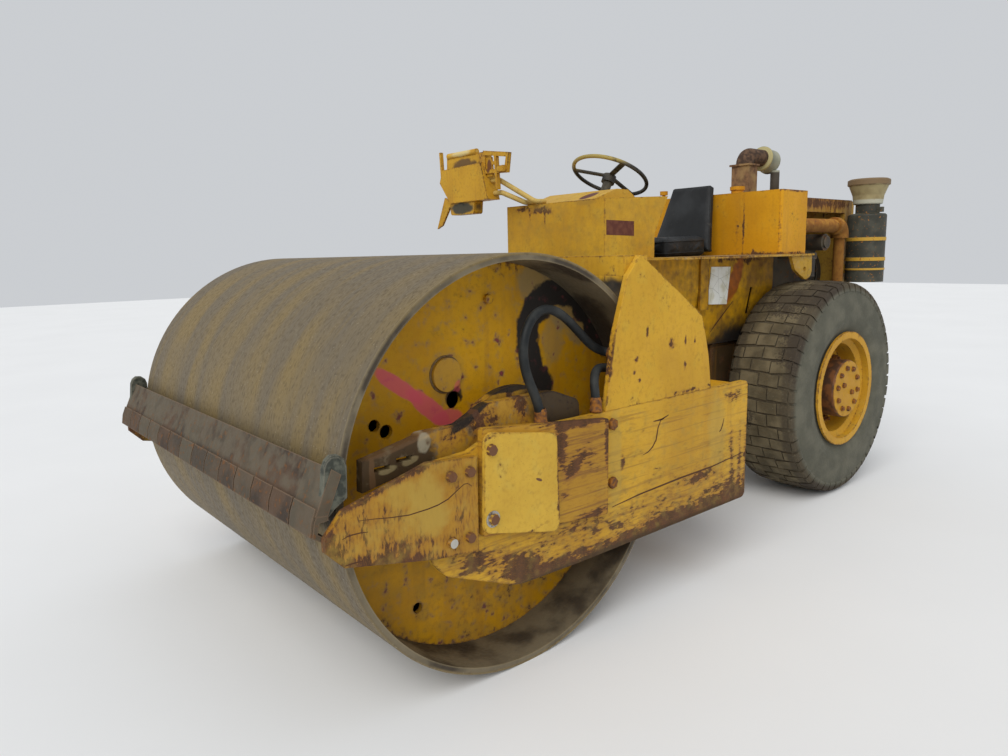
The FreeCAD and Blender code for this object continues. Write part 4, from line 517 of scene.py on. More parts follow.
# Front frame's side plates, towers, covers and arms: thick plate, painted yellow. The
# ground scuffs their lower edges down to purple-brown rust.
PAINT = (0.56, 0.315, 0.022)
PAINT_LIGHT = (0.60, 0.375, 0.045)
GREEN_FADE = (0.42, 0.290, 0.060)
# Dark grime; the same colour also serves as painted shade.
DARK_GRIME_AND_SHADE = (0.045, 0.028, 0.014)
LOW_EDGE_RUST = (
    (at(-700, 0, 345), (0.95, 9, 0.075), 1.05, 0),
    (at(-700, 0, 400), (0.90, 9, 0.24), 0.46, 0),
    (at(60, 0, 400), (0.45, 9, 0.090), 1.00, 24),
    (at(-1250, 0, 380), (0.30, 9, 0.13), 0.65, 0),
    (at(-1375, 0, 560), (0.050, 9, 0.30), 0.80, 0),
    (at(-1250, 0, 855), (0.10, 9, 0.04), 0.62, 0),
    (at(-1240, 0, 600), (0.030, 9, 0.24), 0.62, -4),
    (at(-1310, 0, 560), (0.025, 9, 0.26), 0.62, 0),
    (at(-980, 0, 520), (0.16, 9, 0.06), 0.70, 0),
    (at(-466, 0, 685), (0.022, 9, 0.045), 1.00, 0),
    (at(-120, 0, 520), (0.35, 9, 0.14), 0.50, 14),
    (at(300, 0, 600), (0.15, 9, 0.25), 0.35, 0),
)
SIDE_MARKS = (
    mark(GREEN_FADE, at(-1120, 0, 700), (0.085, 9, 0.22), -4, 0.9, 0.25, 0.45),
    mark(GREEN_FADE, at(-425, 0, 700), (0.045, 9, 0.30), 0, 0.8, 0.25, 0.45),
    mark(DARK_GRIME_AND_SHADE, at(-600, 0, 330), (1.20, 9, 0.038), 0, 0.6, 0.20, 0.7),
)
side_finish = old_paint("side_plate_paint", PAINT, 0.22, 0.25, rust=LOW_EDGE_RUST, marks=SIDE_MARKS, dust=0.2,
                        lie=(0.55, 1.0, 1.5), scuffs=0.42)
dress("side_plates", side_finish)
tower_finish = old_paint("tower_paint", PAINT, 0.08, 0.16, rust=(
    (at(-771, 0, 1138), (0.036, 9, 0.032), 1.25, 0),
    (at(-615, 0, 1196), (0.013, 9, 0.036), 1.15, 0),
    (at(-869, 0, 1146), (0.013, 9, 0.044), 1.10, 0),
    (at(-868, 0, 1038), (0.013, 9, 0.034), 1.10, 0),
    (at(-936, 0, 1139), (0.011, 9, 0.022), 1.00, 0),
    (at(-547, 0, 1096), (0.018, 9, 0.026), 1.10, 30),
    (at(-536, 0, 1043), (0.014, 9, 0.016), 1.10, 0),
    (at(-568, 0, 1011), (0.018, 9, 0.018), 1.10, 0),
    (at(-403, 0, 1061), (0.018, 9, 0.024), 1.15, 0),
    (at(-900, 0, 925), (0.30, 9, 0.016), 0.55, 0),
    (at(-400, 0, 1100), (0.014, 9, 0.240), 0.60, 12)), dust=0.12)
TOWER_OUTLINE = ((-368, 912), (-380, 987), (-419, 1204), (-493, 1427), (-564, 1505), (-576, 1505),
                 (-935, 1276), (-967, 1254), (-985, 1238), (-996, 1208), (-1022, 1127), (-1039, 1067),
                 (-1052, 990), (-1063, 912))
TOWER_FACE = 1040
TOWER_WALL = 25
tower_points = []
tower_faces = []
for side in (1, -1):
    cut_plate(tower_points, tower_faces, TOWER_OUTLINE, side, TOWER_FACE, TOWER_WALL, 2, 0.994)
towers = mesh_piece("tower_sheets", tower_points, tower_faces, tower_finish, "front_frame")
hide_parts("tower_plates")
housing_finish = old_paint("housing_paint", (0.44, 0.235, 0.020), 0.35, 0.35, rust=(
    (at(-200, 0, 912), (0.22, 9, 0.042), 1.35, 5),
    (at(-100, 0, 840), (0.045, 9, 0.13), 1.30, 0),
    (at(-346, 0, 800), (0.018, 9, 0.16), 1.00, 0),
    (at(-230, 0, 780), (0.15, 9, 0.12), 0.45, 0),
    (at(-150, 0, 720), (0.09, 9, 0.045), 1.05, -35),
    (at(-120, 0, 640), (0.05, 9, 0.030), 0.80, 0),
    (at(-235, 0, 524), (0.18, 9, 0.030), 1.30, -5)), dust=0.15, lie=(0.45, 1.0, 1.7), scuffs=0.65)
dress("drum_housings", housing_finish)
RUSTY_HEAD = (0.150, 0.066, 0.030)
BARE_HEAD = (0.46, 0.44, 0.40)
cover_finish = old_paint("cover_paint", PAINT_LIGHT, 0.06, 0.06, rust=(
    (at(-72, 0, 700), (0.014, 9, 0.26), 0.75, 0),
    (at(100, 0, 940), (0.30, 9, 0.016), 0.65, -5),
    (at(60, 0, 555), (0.25, 9, 0.010), 0.55, -12)), marks=(
    mark(RUSTY_HEAD, at(239, 0, 883), (0.024, 9, 0.024), 0, 0.4),
    mark(RUSTY_HEAD, at(237, 0, 644), (0.024, 9, 0.024), 0, 0.4),
    mark(RUSTY_HEAD, at(24, 0, 735), (0.020, 9, 0.006), 25, 0.6)), dust=0.05)
dress("housing_covers", cover_finish)
ARM_BOLTS = ((396, 823), (321, 824), (327, 601))
BARE_ARM_BOLT = (400, 602)
arm_finish = old_paint("arm_paint", (0.40, 0.205, 0.020), 0.50, 0.65, rust=(
    (at(840, 0, 700), (0.06, 9, 0.14), 0.75, 0),
    (at(620, 0, 598), (0.42, 9, 0.040), 0.95, 12),
    (at(600, 0, 850), (0.42, 9, 0.022), 0.95, -14),
    (at(700, 0, 720), (0.26, 9, 0.12), 0.35, 0),
    (at(345, 0, 700), (0.06, 9, 0.16), 0.45, 0),
    (at(560, 0, 640), (0.16, 9, 0.04), 0.60, 6)), marks=(
    mark((0.43, 0.285, 0.050), at(485, 0, 745), (0.085, 9, 0.125), -12, 1.0, 0.30, 0.75),
    mark((0.43, 0.285, 0.050), at(575, 0, 800), (0.060, 9, 0.050), 0, 1.0, 0.30, 0.45),
    *[mark(RUSTY_HEAD, at(forward, 0, up), (0.021, 9, 0.021), 0, 0.3) for forward, up in ARM_BOLTS],
    mark(BARE_HEAD, at(BARE_ARM_BOLT[0], 0, BARE_ARM_BOLT[1]), (0.019, 9, 0.019), 0, 0.3)),
    dust=0.1, lie=(1.7, 1.0, 0.55))
dress("front_arms", arm_finish)
SLOT_DUST = (0.30, 0.235, 0.115)
carrier_finish = old_paint("carrier_paint", (0.40, 0.215, 0.020), 0.62, 0.6, rust=(
    (at(250, 0, 960), (0.16, 9, 0.10), 0.55, 0),
    (at(20, 0, 1000), (0.04, 9, 0.12), 0.80, -20)), marks=(
    # The near-black patch round the slots is painted shade over the plate's face.
    mark(DARK_GRIME_AND_SHADE, at(560, 0, 860), (0.20, 9, 0.16), 0, 0.5, 0.08, 0.95),
    mark((0.13, 0.07, 0.03), at(520, 0, 940), (0.17, 9, 0.020), -12, 0.6, 0.15, 0.8),
    mark((0.13, 0.07, 0.03), at(632, 0, 850), (0.014, 9, 0.10), 0, 0.5, 0.15, 0.8),
    mark(PALE_DUST, at(440, 0, 930), (0.030, 9, 0.045), 0, 0.8, 0.15, 0.6),
    mark(SLOT_DUST, at(578, 0, 864), (0.040, 9, 0.015), -10, 0.8, 0.15, 0.7),
    mark(SLOT_DUST, at(490, 0, 878), (0.040, 9, 0.015), -10, 0.8, 0.15, 0.7),
    mark(BLACK_MUD_AND_SHADE, at(90, 0, 1050), (0.30, 9, 0.030), 0, 0.6, 0.10, 0.95),
    mark(BLACK_MUD_AND_SHADE, at(250, 0, 985), (0.14, 9, 0.026), -30, 0.6, 0.10, 0.95),
    mark(RUST_PURPLE, at(205, 0, 950), (0.020, 9, 0.10), -25, 0.9, 0.12, 0.85),
    mark(BLACK_MUD_AND_SHADE, at(-200, 0, 960), (0.20, 9, 0.16), 0, 0.6, 0.20, 0.9)), dust=0.2)
dress("drum_carriers", carrier_finish)
beam_finish = old_paint("beam_paint", PAINT, 0.35, 0.35, rust=(
    (at(-540, 0, 1440), (0.10, 0.3, 0.05), 0.5, 0),), dust=0.1)
dress("tower_cross_beam", beam_finish)
dress("rear_cross_member", old_paint("cross_member_paint", PAINT_DEEP, 0.45, 0.6, dust=0.7, dust_top=1.1))

OUT = Vector((0, 1, 0))


def both_sides(spots, depth):
    """Bolt spots on the outer faces of the left and right plates."""
    placed = []
    for side in (1, -1):
        for forward, up in spots:
            placed.append((at(forward, side * depth, up), OUT * side))
    return placed


washer_points = []
washer_faces = []
for side in (1, -1):
    washer = lathe(((-0.001, 0.018), (-0.001, 0.029), (0.0022, 0.029), (0.003, 0.027), (0.003, 0.018)),
                   Vector(at(237, side * 1079.6, 644)), (0, side, 0), 28)
    grown(washer_points, washer_faces, *washer)
mesh_piece("cover_washers", washer_points, washer_faces, bright_finish, "front_frame")


def scratch(route, width=0.004):
    """A line torn in the paint: a thin dark sliver that lies on a plate's outer face."""
    points = []
    count = len(route)
    for index, here in enumerate(route):
        along = (Vector(route[min(index + 1, count - 1)]) - Vector(route[max(index - 1, 0)])).normalized()
        across = along.cross(OUT).normalized()
        slim = width * math.sin(math.pi * (index + 0.35) / (count - 0.3)) * 0.5 + 0.0006
        points += [Vector(here) + across * slim, Vector(here) - across * slim]
    faces = [(2 * step, 2 * step + 1, 2 * step + 3, 2 * step + 2) for step in range(count - 1)]
    return points, faces


def on_plate(spots, depth):
    """Points on an upright plate, from how far forward and how far up they are."""
    return [at(forward, depth, up) for forward, up in spots]


scar_finish, tree = new_finish("torn_paint")
where = piece_place(tree)
crust = grain(tree, where, 60.0, 4.0)
finished(tree, layered(tree, crust, (0.05, 0.022, 0.012, 1.0), (0.12, 0.048, 0.018, 1.0)),
         ramp(tree, crust, 0.3, 0.7, 0.7, 0.9), crust, 0.001)
SIDE_SCARS = (
    ((-729, 829), (-708, 824), (-690, 793), (-684, 768), (-678, 744), (-655, 718), (-626, 702), (-594, 696)),
    ((-760, 838), (-715, 826), (-660, 826)),
    ((-1172, 758), (-1162, 728), (-1148, 705), (-1135, 699)),
    ((-405, 519), (-578, 533), (-848, 543), (-1087, 546), (-1340, 565)),
)
ARM_SCARS = (
    ((311, 772), (328, 785), (343, 786), (370, 772), (408, 751), (447, 741), (486, 737), (557, 735),
     (620, 743), (676, 753), (732, 761)),
    ((786, 718), (770, 723), (754, 724), (726, 723), (701, 719)),
    ((782, 637), (752, 637), (723, 635)),
)
scar_points = []
scar_faces = []
for scar in SIDE_SCARS:
    grown(scar_points, scar_faces, *scratch(on_plate(scar, 1040.3), 0.007))
for scar in ARM_SCARS:
    grown(scar_points, scar_faces, *scratch(on_plate(scar, 1065.6), 0.003))
mesh_piece("torn_lines", scar_points, scar_faces, scar_finish, "front_frame")
PLATE_BOLTS = ((-402, 858), (-402, 622))
bolts("plate_bolts", both_sides(PLATE_BOLTS, 1040), bolt_finish, "front_frame", 0.042, 0.016)

# Drive hoses: wire-braided rubber with pressed steel ends. They stand up out of the
# gap behind the side plate, arch over and run in behind the tower.
hose_finish, tree = new_finish("hose_rubber")
where = piece_place(tree)
weave = grain(tree, where, 260.0, 2.0)
dusty = grain(tree, where, 8.0, 5.0)
finished(tree, layered(tree, ramp(tree, dusty, 0.42, 0.66), (0.010, 0.012, 0.013, 1.0), (0.036, 0.038, 0.036, 1.0)),
         ramp(tree, dusty, 0.3, 0.7, 0.50, 0.7), weave, 0.0008)


def hose(name, route, radius, material, body):
    """A hose that is held at both ends, on one smooth line through its route."""
    curve = bpy.data.curves.new(name, "CURVE")
    curve.dimensions = "3D"
    curve.bevel_depth = radius
    curve.bevel_resolution = 4
    curve.resolution_u = 10
    curve.use_fill_caps = True
    spline = curve.splines.new("NURBS")
    spline.points.add(len(route) - 1)
    for point, spot_at in zip(spline.points, route):
        point.co = tuple(spot_at) + (1.0,)
    spline.order_u = 4
    spline.use_endpoint_u = True
    curve.materials.append(material)
    piece = bpy.data.objects.new(name, curve)
    bpy.context.collection.objects.link(piece)
    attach(piece, body)
    return piece


LONG_HOSE = (at(-43, 1020, 914), at(-43, 1020, 985), at(30, 1018, 1090), at(40, 1015, 1230),
             at(-40, 1005, 1330), at(-160, 990, 1320), at(-290, 965, 1230), at(-400, 940, 1150),
             at(-468, 948, 1125), at(-470, 985, 1125), at(-470, 1013, 1125))
SHORT_HOSE = (at(-333, 1020, 914), at(-333, 1020, 970), at(-330, 1010, 1030), at(-380, 975, 1070),
              at(-450, 945, 1068), at(-472, 965, 1062), at(-470, 1013, 1062))
hose_pieces = [hose("long_hose", LONG_HOSE, 0.0175, hose_finish, "front_frame"),
               hose("short_hose", SHORT_HOSE, 0.0175, hose_finish, "front_frame")]
FERRULE = ((0.0, 0.0), (0.0, 0.024), (0.010, 0.026), (0.012, 0.0235), (0.040, 0.0225), (0.044, 0.0235),
           (0.048, 0.0205), (0.056, 0.0195), (0.058, 0.0170))
end_points = []
end_faces = []
for seat in (LONG_HOSE[0], SHORT_HOSE[0]):
    grown(end_points, end_faces, *lathe(FERRULE, seat, (0, 0, 1), 24))
for seat in (LONG_HOSE[-1], SHORT_HOSE[-1]):
    grown(end_points, end_faces, *lathe(FERRULE, seat, (0, -1, 0), 24))
hose_ends = mesh_piece("hose_ends", end_points, end_faces, bolt_finish, "front_frame", True)
for piece in hose_pieces:
    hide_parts("drive_hoses")

# Tyres: worn industrial tyres. Rows of offset rubber blocks with shallow grooves,
# lugs over the shoulders, and scuffed grey walls. They turn on yellow steel rims.
WHEEL_X = -2769
WHEEL_Z = 660
WHEEL_Y = 645
TREAD_BLOCKS = 52
# Across the tread, in metres from its middle, the blocks of one row and of the next:
# every other row is shifted by half a block.
EVEN_ROW = ((-0.184, -0.066), (-0.058, 0.058), (0.066, 0.184))
ODD_ROW = ((-0.120, -0.004), (0.004, 0.120))
WIDE_LUG = ((0.128, 0.640), (0.128, 0.6560), (0.160, 0.6525), (0.190, 0.6475), (0.2020, 0.638),
            (0.2135, 0.600), (0.2080, 0.590))
NARROW_LUG = ((0.190, 0.636), (0.190, 0.6470), (0.2020, 0.638), (0.2135, 0.600), (0.2080, 0.590))
CARCASS = ((-0.189, 0.324), (-0.189, 0.356), (-0.205, 0.384), (-0.2175, 0.415), (-0.2190, 0.440),
           (-0.2200, 0.444), (-0.2190, 0.448), (-0.2195, 0.500), (-0.2170, 0.545), (-0.2100, 0.585),
           (-0.1990, 0.622), (-0.1850, 0.641), (-0.1000, 0.6490), (0.0, 0.6515))
tyre_carcass = CARCASS + tuple((-across, out) for across, out in reversed(CARCASS[:-1]))


def tread_block(points, faces, section, centre, begin, end, lean, wear):
    """One rubber block: its section swept a little way round the tyre."""
    steps = 3
    middle = sum(across for across, _ in section) / len(section)
    base = len(points)
    for step in range(steps + 1):
        share = step / steps
        pull = 0.0040 if step in (0, steps) else 0.0
        for across, out in section:
            top = 1.0 if out > 0.645 else 0.0
            angle = begin + (end - begin) * share + (across - middle) * lean / 0.05
            angle += (0.5 - share) * 2 * pull * top
            radius = out - top * wear
            points.append((centre[0] + radius * math.cos(angle), centre[1] + across,
                           centre[2] + radius * math.sin(angle)))
    count = len(section)
    for step in range(steps):
        for row in range(count):
            ahead = (row + 1) % count
            faces.append((base + step * count + row, base + step * count + ahead,
                          base + (step + 1) * count + ahead, base + (step + 1) * count + row))
    faces.append(tuple(base + row for row in reversed(range(count))))
    faces.append(tuple(base + steps * count + row for row in range(count)))


def tread_radius(across):
    return 0.660 - 0.012 * max(0.0, (abs(across) - 0.05) / 0.1475) ** 1.6


def tyre_finish(side):
    material, tree = new_finish("old_tyre_" + ("left" if side > 0 else "right"))
    where = piece_place(tree)
    far, turn, along = from_axle(tree, where, at(WHEEL_X, 0, WHEEL_Z))
    dust = grain(tree, where, 9.0, 6.0)
    fine = grain(tree, where, 85.0, 4.0)
    wall = layered(tree, ramp(tree, dust, 0.34, 0.70), (0.090, 0.088, 0.066, 1.0), (0.132, 0.126, 0.094, 1.0))
    tread = layered(tree, ramp(tree, dust, 0.36, 0.64), (0.088, 0.070, 0.040, 1.0), (0.160, 0.130, 0.076, 1.0))
    groove = layered(tree, fine, (0.045, 0.036, 0.023, 1.0), (0.105, 0.084, 0.053, 1.0))
    tread = layered(tree, ramp(tree, far, 0.6545, 0.6515), tread, groove)
    damp = ramp(tree, sum_of(tree, grain(tree, where, 2.2, 4.0), ramp(tree, fine, 0.3, 0.7, -0.04, 0.04)), 0.56, 0.62)
    tread = layered(tree, sum_of(tree, damp, 0.75, "MULTIPLY"), tread, (0.040, 0.030, 0.022, 1.0))
    on_tread = sum_of(tree, ramp(tree, far, 0.598, 0.625), ramp(tree, dust, 0.2, 0.4, 0.8, 1.0), "MULTIPLY")
    colour = layered(tree, on_tread, wall, tread)
    colour = layered(tree, ramp(tree, fine, 0.60, 0.78, 0.0, 0.35), colour, (0.215, 0.195, 0.145, 1.0))
    finished(tree, colour, ramp(tree, fine, 0.3, 0.7, 0.72, 0.95), sum_of(tree, fine, dust), 0.003)
    return material


random.seed(17)
for side_name, side in (("left", 1), ("right", -1)):
    centre = Vector(at(WHEEL_X, side * WHEEL_Y, WHEEL_Z))
    rubber = tyre_finish(side)
    points, faces = lathe(tyre_carcass, centre, (0, 1, 0), 120)
    carcass = mesh_piece("tyre_carcass_" + side_name, points, faces, rubber, "wheel_" + side_name, True)
    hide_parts("tyre_" + side_name)
    points = []
    faces = []
    pitch = 2 * math.pi / TREAD_BLOCKS
    for number in range(TREAD_BLOCKS):
        odd = number % 2
        for inner, outer in ODD_ROW if odd else EVEN_ROW:
            wear = random.uniform(0.0, 0.0030)
            middle = (inner + outer) / 2
            section = ((inner, 0.642), (inner, tread_radius(inner)), (middle, tread_radius(middle)),
                       (outer, tread_radius(outer)), (outer, 0.642))
            begin = number * pitch + random.uniform(-0.006, 0.006)
            tread_block(points, faces, section, centre, begin, begin + pitch * random.uniform(0.86, 0.93),
                        random.uniform(-0.010, 0.010), wear)
        for hand in (1, -1):
            wear = random.uniform(0.0, 0.0026)
            section = [(hand * across, out) for across, out in (WIDE_LUG if odd else NARROW_LUG)]
            begin = number * pitch + random.uniform(-0.006, 0.006)
            tread_block(points, faces, section, centre, begin, begin + pitch * random.uniform(0.76, 0.84),
                        -0.010, wear)
    blocks = mesh_piece("tread_blocks_" + side_name, points, faces, rubber, "wheel_" + side_name)
    repair = bmesh.new()
    repair.from_mesh(blocks.data)
    bmesh.ops.recalc_face_normals(repair, faces=repair.faces)
    repair.to_mesh(blocks.data)
    repair.free()

# Rims: pressed steel, painted orange-yellow, rust where the tyre's bead sits. The
# planetary hub is bare brown iron with a painted cap and its ring of screws.
HUB_FACE = 868


def rim_cover(side):
    """Lays the hub's bare iron over the rim's paint."""
    def lay(tree, where, colour):
        far, turn, along = from_axle(tree, where, at(WHEEL_X, 0, WHEEL_Z))
        out = sum_of(tree, along, float(side), "MULTIPLY")
        blotch = grain(tree, where, 22.0, 6.0)
        drum_side = sum_of(tree, ramp(tree, far, 0.205, 0.190), ramp(tree, out, 0.8675, 0.8640), "MULTIPLY")
        spread = sum_of(tree, ramp(tree, far, 0.275, 0.205), ramp(tree, blotch, 0.46, 0.58), "MULTIPLY")
        spread = sum_of(tree, spread, ramp(tree, out, 0.8675, 0.8640), "MULTIPLY")
        cap = sum_of(tree, ramp(tree, far, 0.150, 0.190), ramp(tree, blotch, 0.52, 0.60), "MULTIPLY")
        cap = sum_of(tree, cap, ramp(tree, out, 0.8640, 0.8675), "MULTIPLY")
        iron = layered(tree, ramp(tree, blotch, 0.40, 0.62), opaque(RUST_DARK), (0.155, 0.062, 0.022, 1.0))
        amount = sum_of(tree, sum_of(tree, drum_side, sum_of(tree, spread, 0.7, "MULTIPLY"), "MAXIMUM"), cap, "MAXIMUM")
        return layered(tree, amount, colour, iron)
    return lay


for side_name, side in (("left", 1), ("right", -1)):
    dress("wheel_rim_" + side_name, old_paint(
        "rim_paint_" + side_name, (0.56, 0.300, 0.020), 0.08, 0.12,
        ring=(at(WHEEL_X, 0, WHEEL_Z), 0.325, 0.352, 0.22), dust=0.15, dust_top=0.7, cover=rim_cover(side)))
    spots = []
    for number in range(10):
        angle = 2 * math.pi * (number + 0.25) / 10
        spots.append((at(WHEEL_X + 130 * math.cos(angle), side * HUB_FACE, WHEEL_Z + 130 * math.sin(angle)),
                      OUT * side))
    for number in range(2):
        angle = 2 * math.pi * (number + 0.15) / 2
        spots.append((at(WHEEL_X + 60 * math.cos(angle), side * HUB_FACE, WHEEL_Z + 60 * math.sin(angle)),
                      OUT * side))
    bolts("hub_screws_" + side_name, spots, bolt_finish, "wheel_" + side_name, 0.026, 0.012, 0.017)
    nuts = []
    for number in range(12):
        angle = 2 * math.pi * (number + 0.5) / 12
        nuts.append((at(WHEEL_X + 225 * math.cos(angle), side * (WHEEL_Y + 50.5),
                        WHEEL_Z + 225 * math.sin(angle)), OUT * side))
    bolts("wheel_nuts_" + side_name, nuts, bolt_finish, "wheel_" + side_name, 0.036, 0.0245, 0.024, 0.016)

# Axle, rear frame, hinge and cylinders: working iron under the machine, dark with oil
# and road dirt over what is left of its yellow paint. The near-black paint shared by the
# frame and the steering barrels is partly painted shade, from the frame box that lies in
# shadow under the driver's body.
grime_and_shade = old_paint("grime_and_shade_paint", (0.070, 0.044, 0.020), 0.45, 0.3, dust=0.4, dust_top=0.7, gloss=0.5)
for name in ("rear_frame", "frame_side_plates"):
    dress(name, grime_and_shade)
iron_finish, tree = new_finish("oily_iron")
where = piece_place(tree)
grit = grain(tree, where, 30.0, 6.0)
film = grain(tree, where, 5.0, 4.0)
iron = layered(tree, ramp(tree, film, 0.4, 0.65), (0.045, 0.040, 0.034, 1.0), (0.12, 0.095, 0.062, 1.0))
iron = layered(tree, ramp(tree, grit, 0.56, 0.68), iron, (0.155, 0.070, 0.028, 1.0))
iron = layered(tree, edges_of(tree, 0.008), iron, (0.18, 0.16, 0.12, 1.0))
finished(tree, iron, ramp(tree, film, 0.3, 0.7, 0.40, 0.8), grit, 0.0025, 0.2)
dress("rear_axle", iron_finish)
for side_name in ("left", "right"):
    dress("steer_barrel_" + side_name, grime_and_shade)
rod_finish, tree = new_finish("cylinder_rod")
where = piece_place(tree)
wipe = grain(tree, where, 40.0, 4.0, (0.2, 1.0, 1.0))
finished(tree, layered(tree, ramp(tree, wipe, 0.45, 0.7), (0.46, 0.45, 0.43, 1.0), (0.20, 0.15, 0.10, 1.0)),
         ramp(tree, wipe, 0.3, 0.7, 0.22, 0.5), wipe, 0.0003, 0.9)
for side_name in ("left", "right"):
    dress("steer_rod_" + side_name, rod_finish)

# Driver's body and deck: folded sheet under a flat plate. The left panel is primed in
# orange where a plate was taken off, and a blank white one is still there.
PRIMER = (0.42, 0.100, 0.008)
panel_finish = old_paint("panel_paint", (0.70, 0.370, 0.004), 0.0, 0.35, rust=(
    (at(-2300, 0, 1462), (0.60, 9, 0.025), 0.65, 0),
    (at(-1940, 0, 1330), (0.020, 9, 0.16), 0.80, 0),
    (at(-2350, 0, 1440), (0.05, 9, 0.03), 0.70, 0)), marks=(
    mark(PRIMER, at(-2215, 400, 1330), (0.070, 0.3, 0.200), 27, 0.6, 0.16, 0.92),
    # This brown zone behind the primer is painted shade beside the slot.
    mark(RUST_BROWN, at(-2430, 0, 1370), (0.075, 9, 0.200), 27, 0.6, 0.35, 0.50),
    mark(RUST_BROWN, at(-2130, 0, 1150), (0.040, 9, 0.110), 27, 0.9, 0.30, 0.35),
    # These dark marks along the panel's foot, darkest towards the tyre, are painted shade with some soot.
    mark(DARK_GRIME_AND_SHADE, at(-2150, 0, 930), (0.70, 9, 0.070), 0, 0.3, 0.40, 0.9),
    mark(BLACK_MUD_AND_SHADE, at(-2400, 0, 925), (0.42, 9, 0.180), 12, 0.3, 0.35, 1.0),
    mark(BLACK_MUD_AND_SHADE, at(-2560, 0, 1100), (0.16, 9, 0.110), 0, 0.4, 0.30, 0.9)), dust=0.0)
dress("body_panels", panel_finish)
# The foot well is painted near black all over: painted shade, for where it lies deep in the shade of the drum and the
# cross beam.
dress("foot_well", old_paint("well_painted_shade", (0.030, 0.020, 0.010), 0.20, 0.2, dust=0.2, dust_top=1.2))
dress("driver_deck", old_paint("deck_paint", (0.50, 0.29, 0.025), 0.40, 0.45, rust=(
    (at(-1850, 0, 1486), (0.5, 9, 0.02), 0.6, 0),), marks=(
    mark(PALE_DUST, at(-2300, 400, 1487), (0.4, 0.25, 0.02), 0, 1.0, 0.2, 0.5),), dust=0.2, dust_top=1.5))
sign_finish, tree = new_finish("blank_sign")
where = piece_place(tree)
age = grain(tree, where, 14.0, 6.0)
crack = node(tree, "TexVoronoi", {"Vector": where, "Scale": 11.0}, feature="DISTANCE_TO_EDGE").outputs["Distance"]
paper = layered(tree, ramp(tree, age, 0.45, 0.7), (0.80, 0.81, 0.76, 1.0), (0.62, 0.60, 0.47, 1.0))
paper = layered(tree, ramp(tree, crack, 0.012, 0.003, 0.0, 0.7), paper, (0.14, 0.12, 0.09, 1.0))
finished(tree, paper, ramp(tree, age, 0.3, 0.7, 0.4, 0.6), age, 0.0005)


def flat_plate(name, corners, thickness, material, body, direction=OUT):
    """A thin plate with slightly rounded edges, from its corners on one face."""
    lift = Vector(direction) * thickness
    middle = sum((Vector(corner) for corner in corners), Vector()) / len(corners)
    points = [Vector(corner) for corner in corners]
    points += [Vector(corner) + lift * 0.75 for corner in corners]
    points += [middle + (Vector(corner) - middle) * 0.985 + lift for corner in corners]
    count = len(corners)
    faces = []
    for ring in (0, count):
        for row in range(count):
            ahead = (row + 1) % count
            faces.append((ring + row, ring + ahead, ring + count + ahead, ring + count + row))
    faces.append(tuple(range(2 * count, 3 * count)))
    faces.append(tuple(reversed(range(count))))
    return mesh_piece(name, points, faces, material, body)


seam_points, seam_faces = scratch((at(-2205, 410.4, 1215), at(-2160, 386.6, 1152), at(-2090, 371.9, 1083),
                                   at(-2020, 357.0, 1013), at(-1985, 349.8, 979)), 0.010)
mesh_piece("panel_seam", seam_points, seam_faces, scar_finish, "tractor")
flat_plate("blank_sign", (at(-1972, 410.3, 1424), at(-2169, 410.3, 1420), at(-2136, 410.3, 1200),
                          at(-1939, 410.3, 1209)), 0.003, sign_finish, "tractor")

# Seat: a thick cushion and a sloping back, black vinyl over foam, with welted edges.
vinyl, tree = new_finish("black_vinyl")
where = piece_place(tree)
pores = node(tree, "TexVoronoi", {"Vector": where, "Scale": 420.0}, feature="SMOOTH_F1").outputs["Distance"]
crease = grain(tree, where, 12.0, 6.0)
dusty = grain(tree, where, 4.0, 5.0)
skin = layered(tree, ramp(tree, dusty, 0.42, 0.70), (0.014, 0.015, 0.016, 1.0), (0.030, 0.032, 0.034, 1.0))
skin = layered(tree, ramp(tree, crease, 0.66, 0.76), skin, (0.060, 0.056, 0.048, 1.0))
finished(tree, skin, ramp(tree, crease, 0.3, 0.7, 0.42, 0.65),
         sum_of(tree, sum_of(tree, pores, 0.4, "MULTIPLY"), crease), 0.0016)
SEAT_FRONT = -1785
SEAT_DEPTH = 420
DECK_TOP = 1486


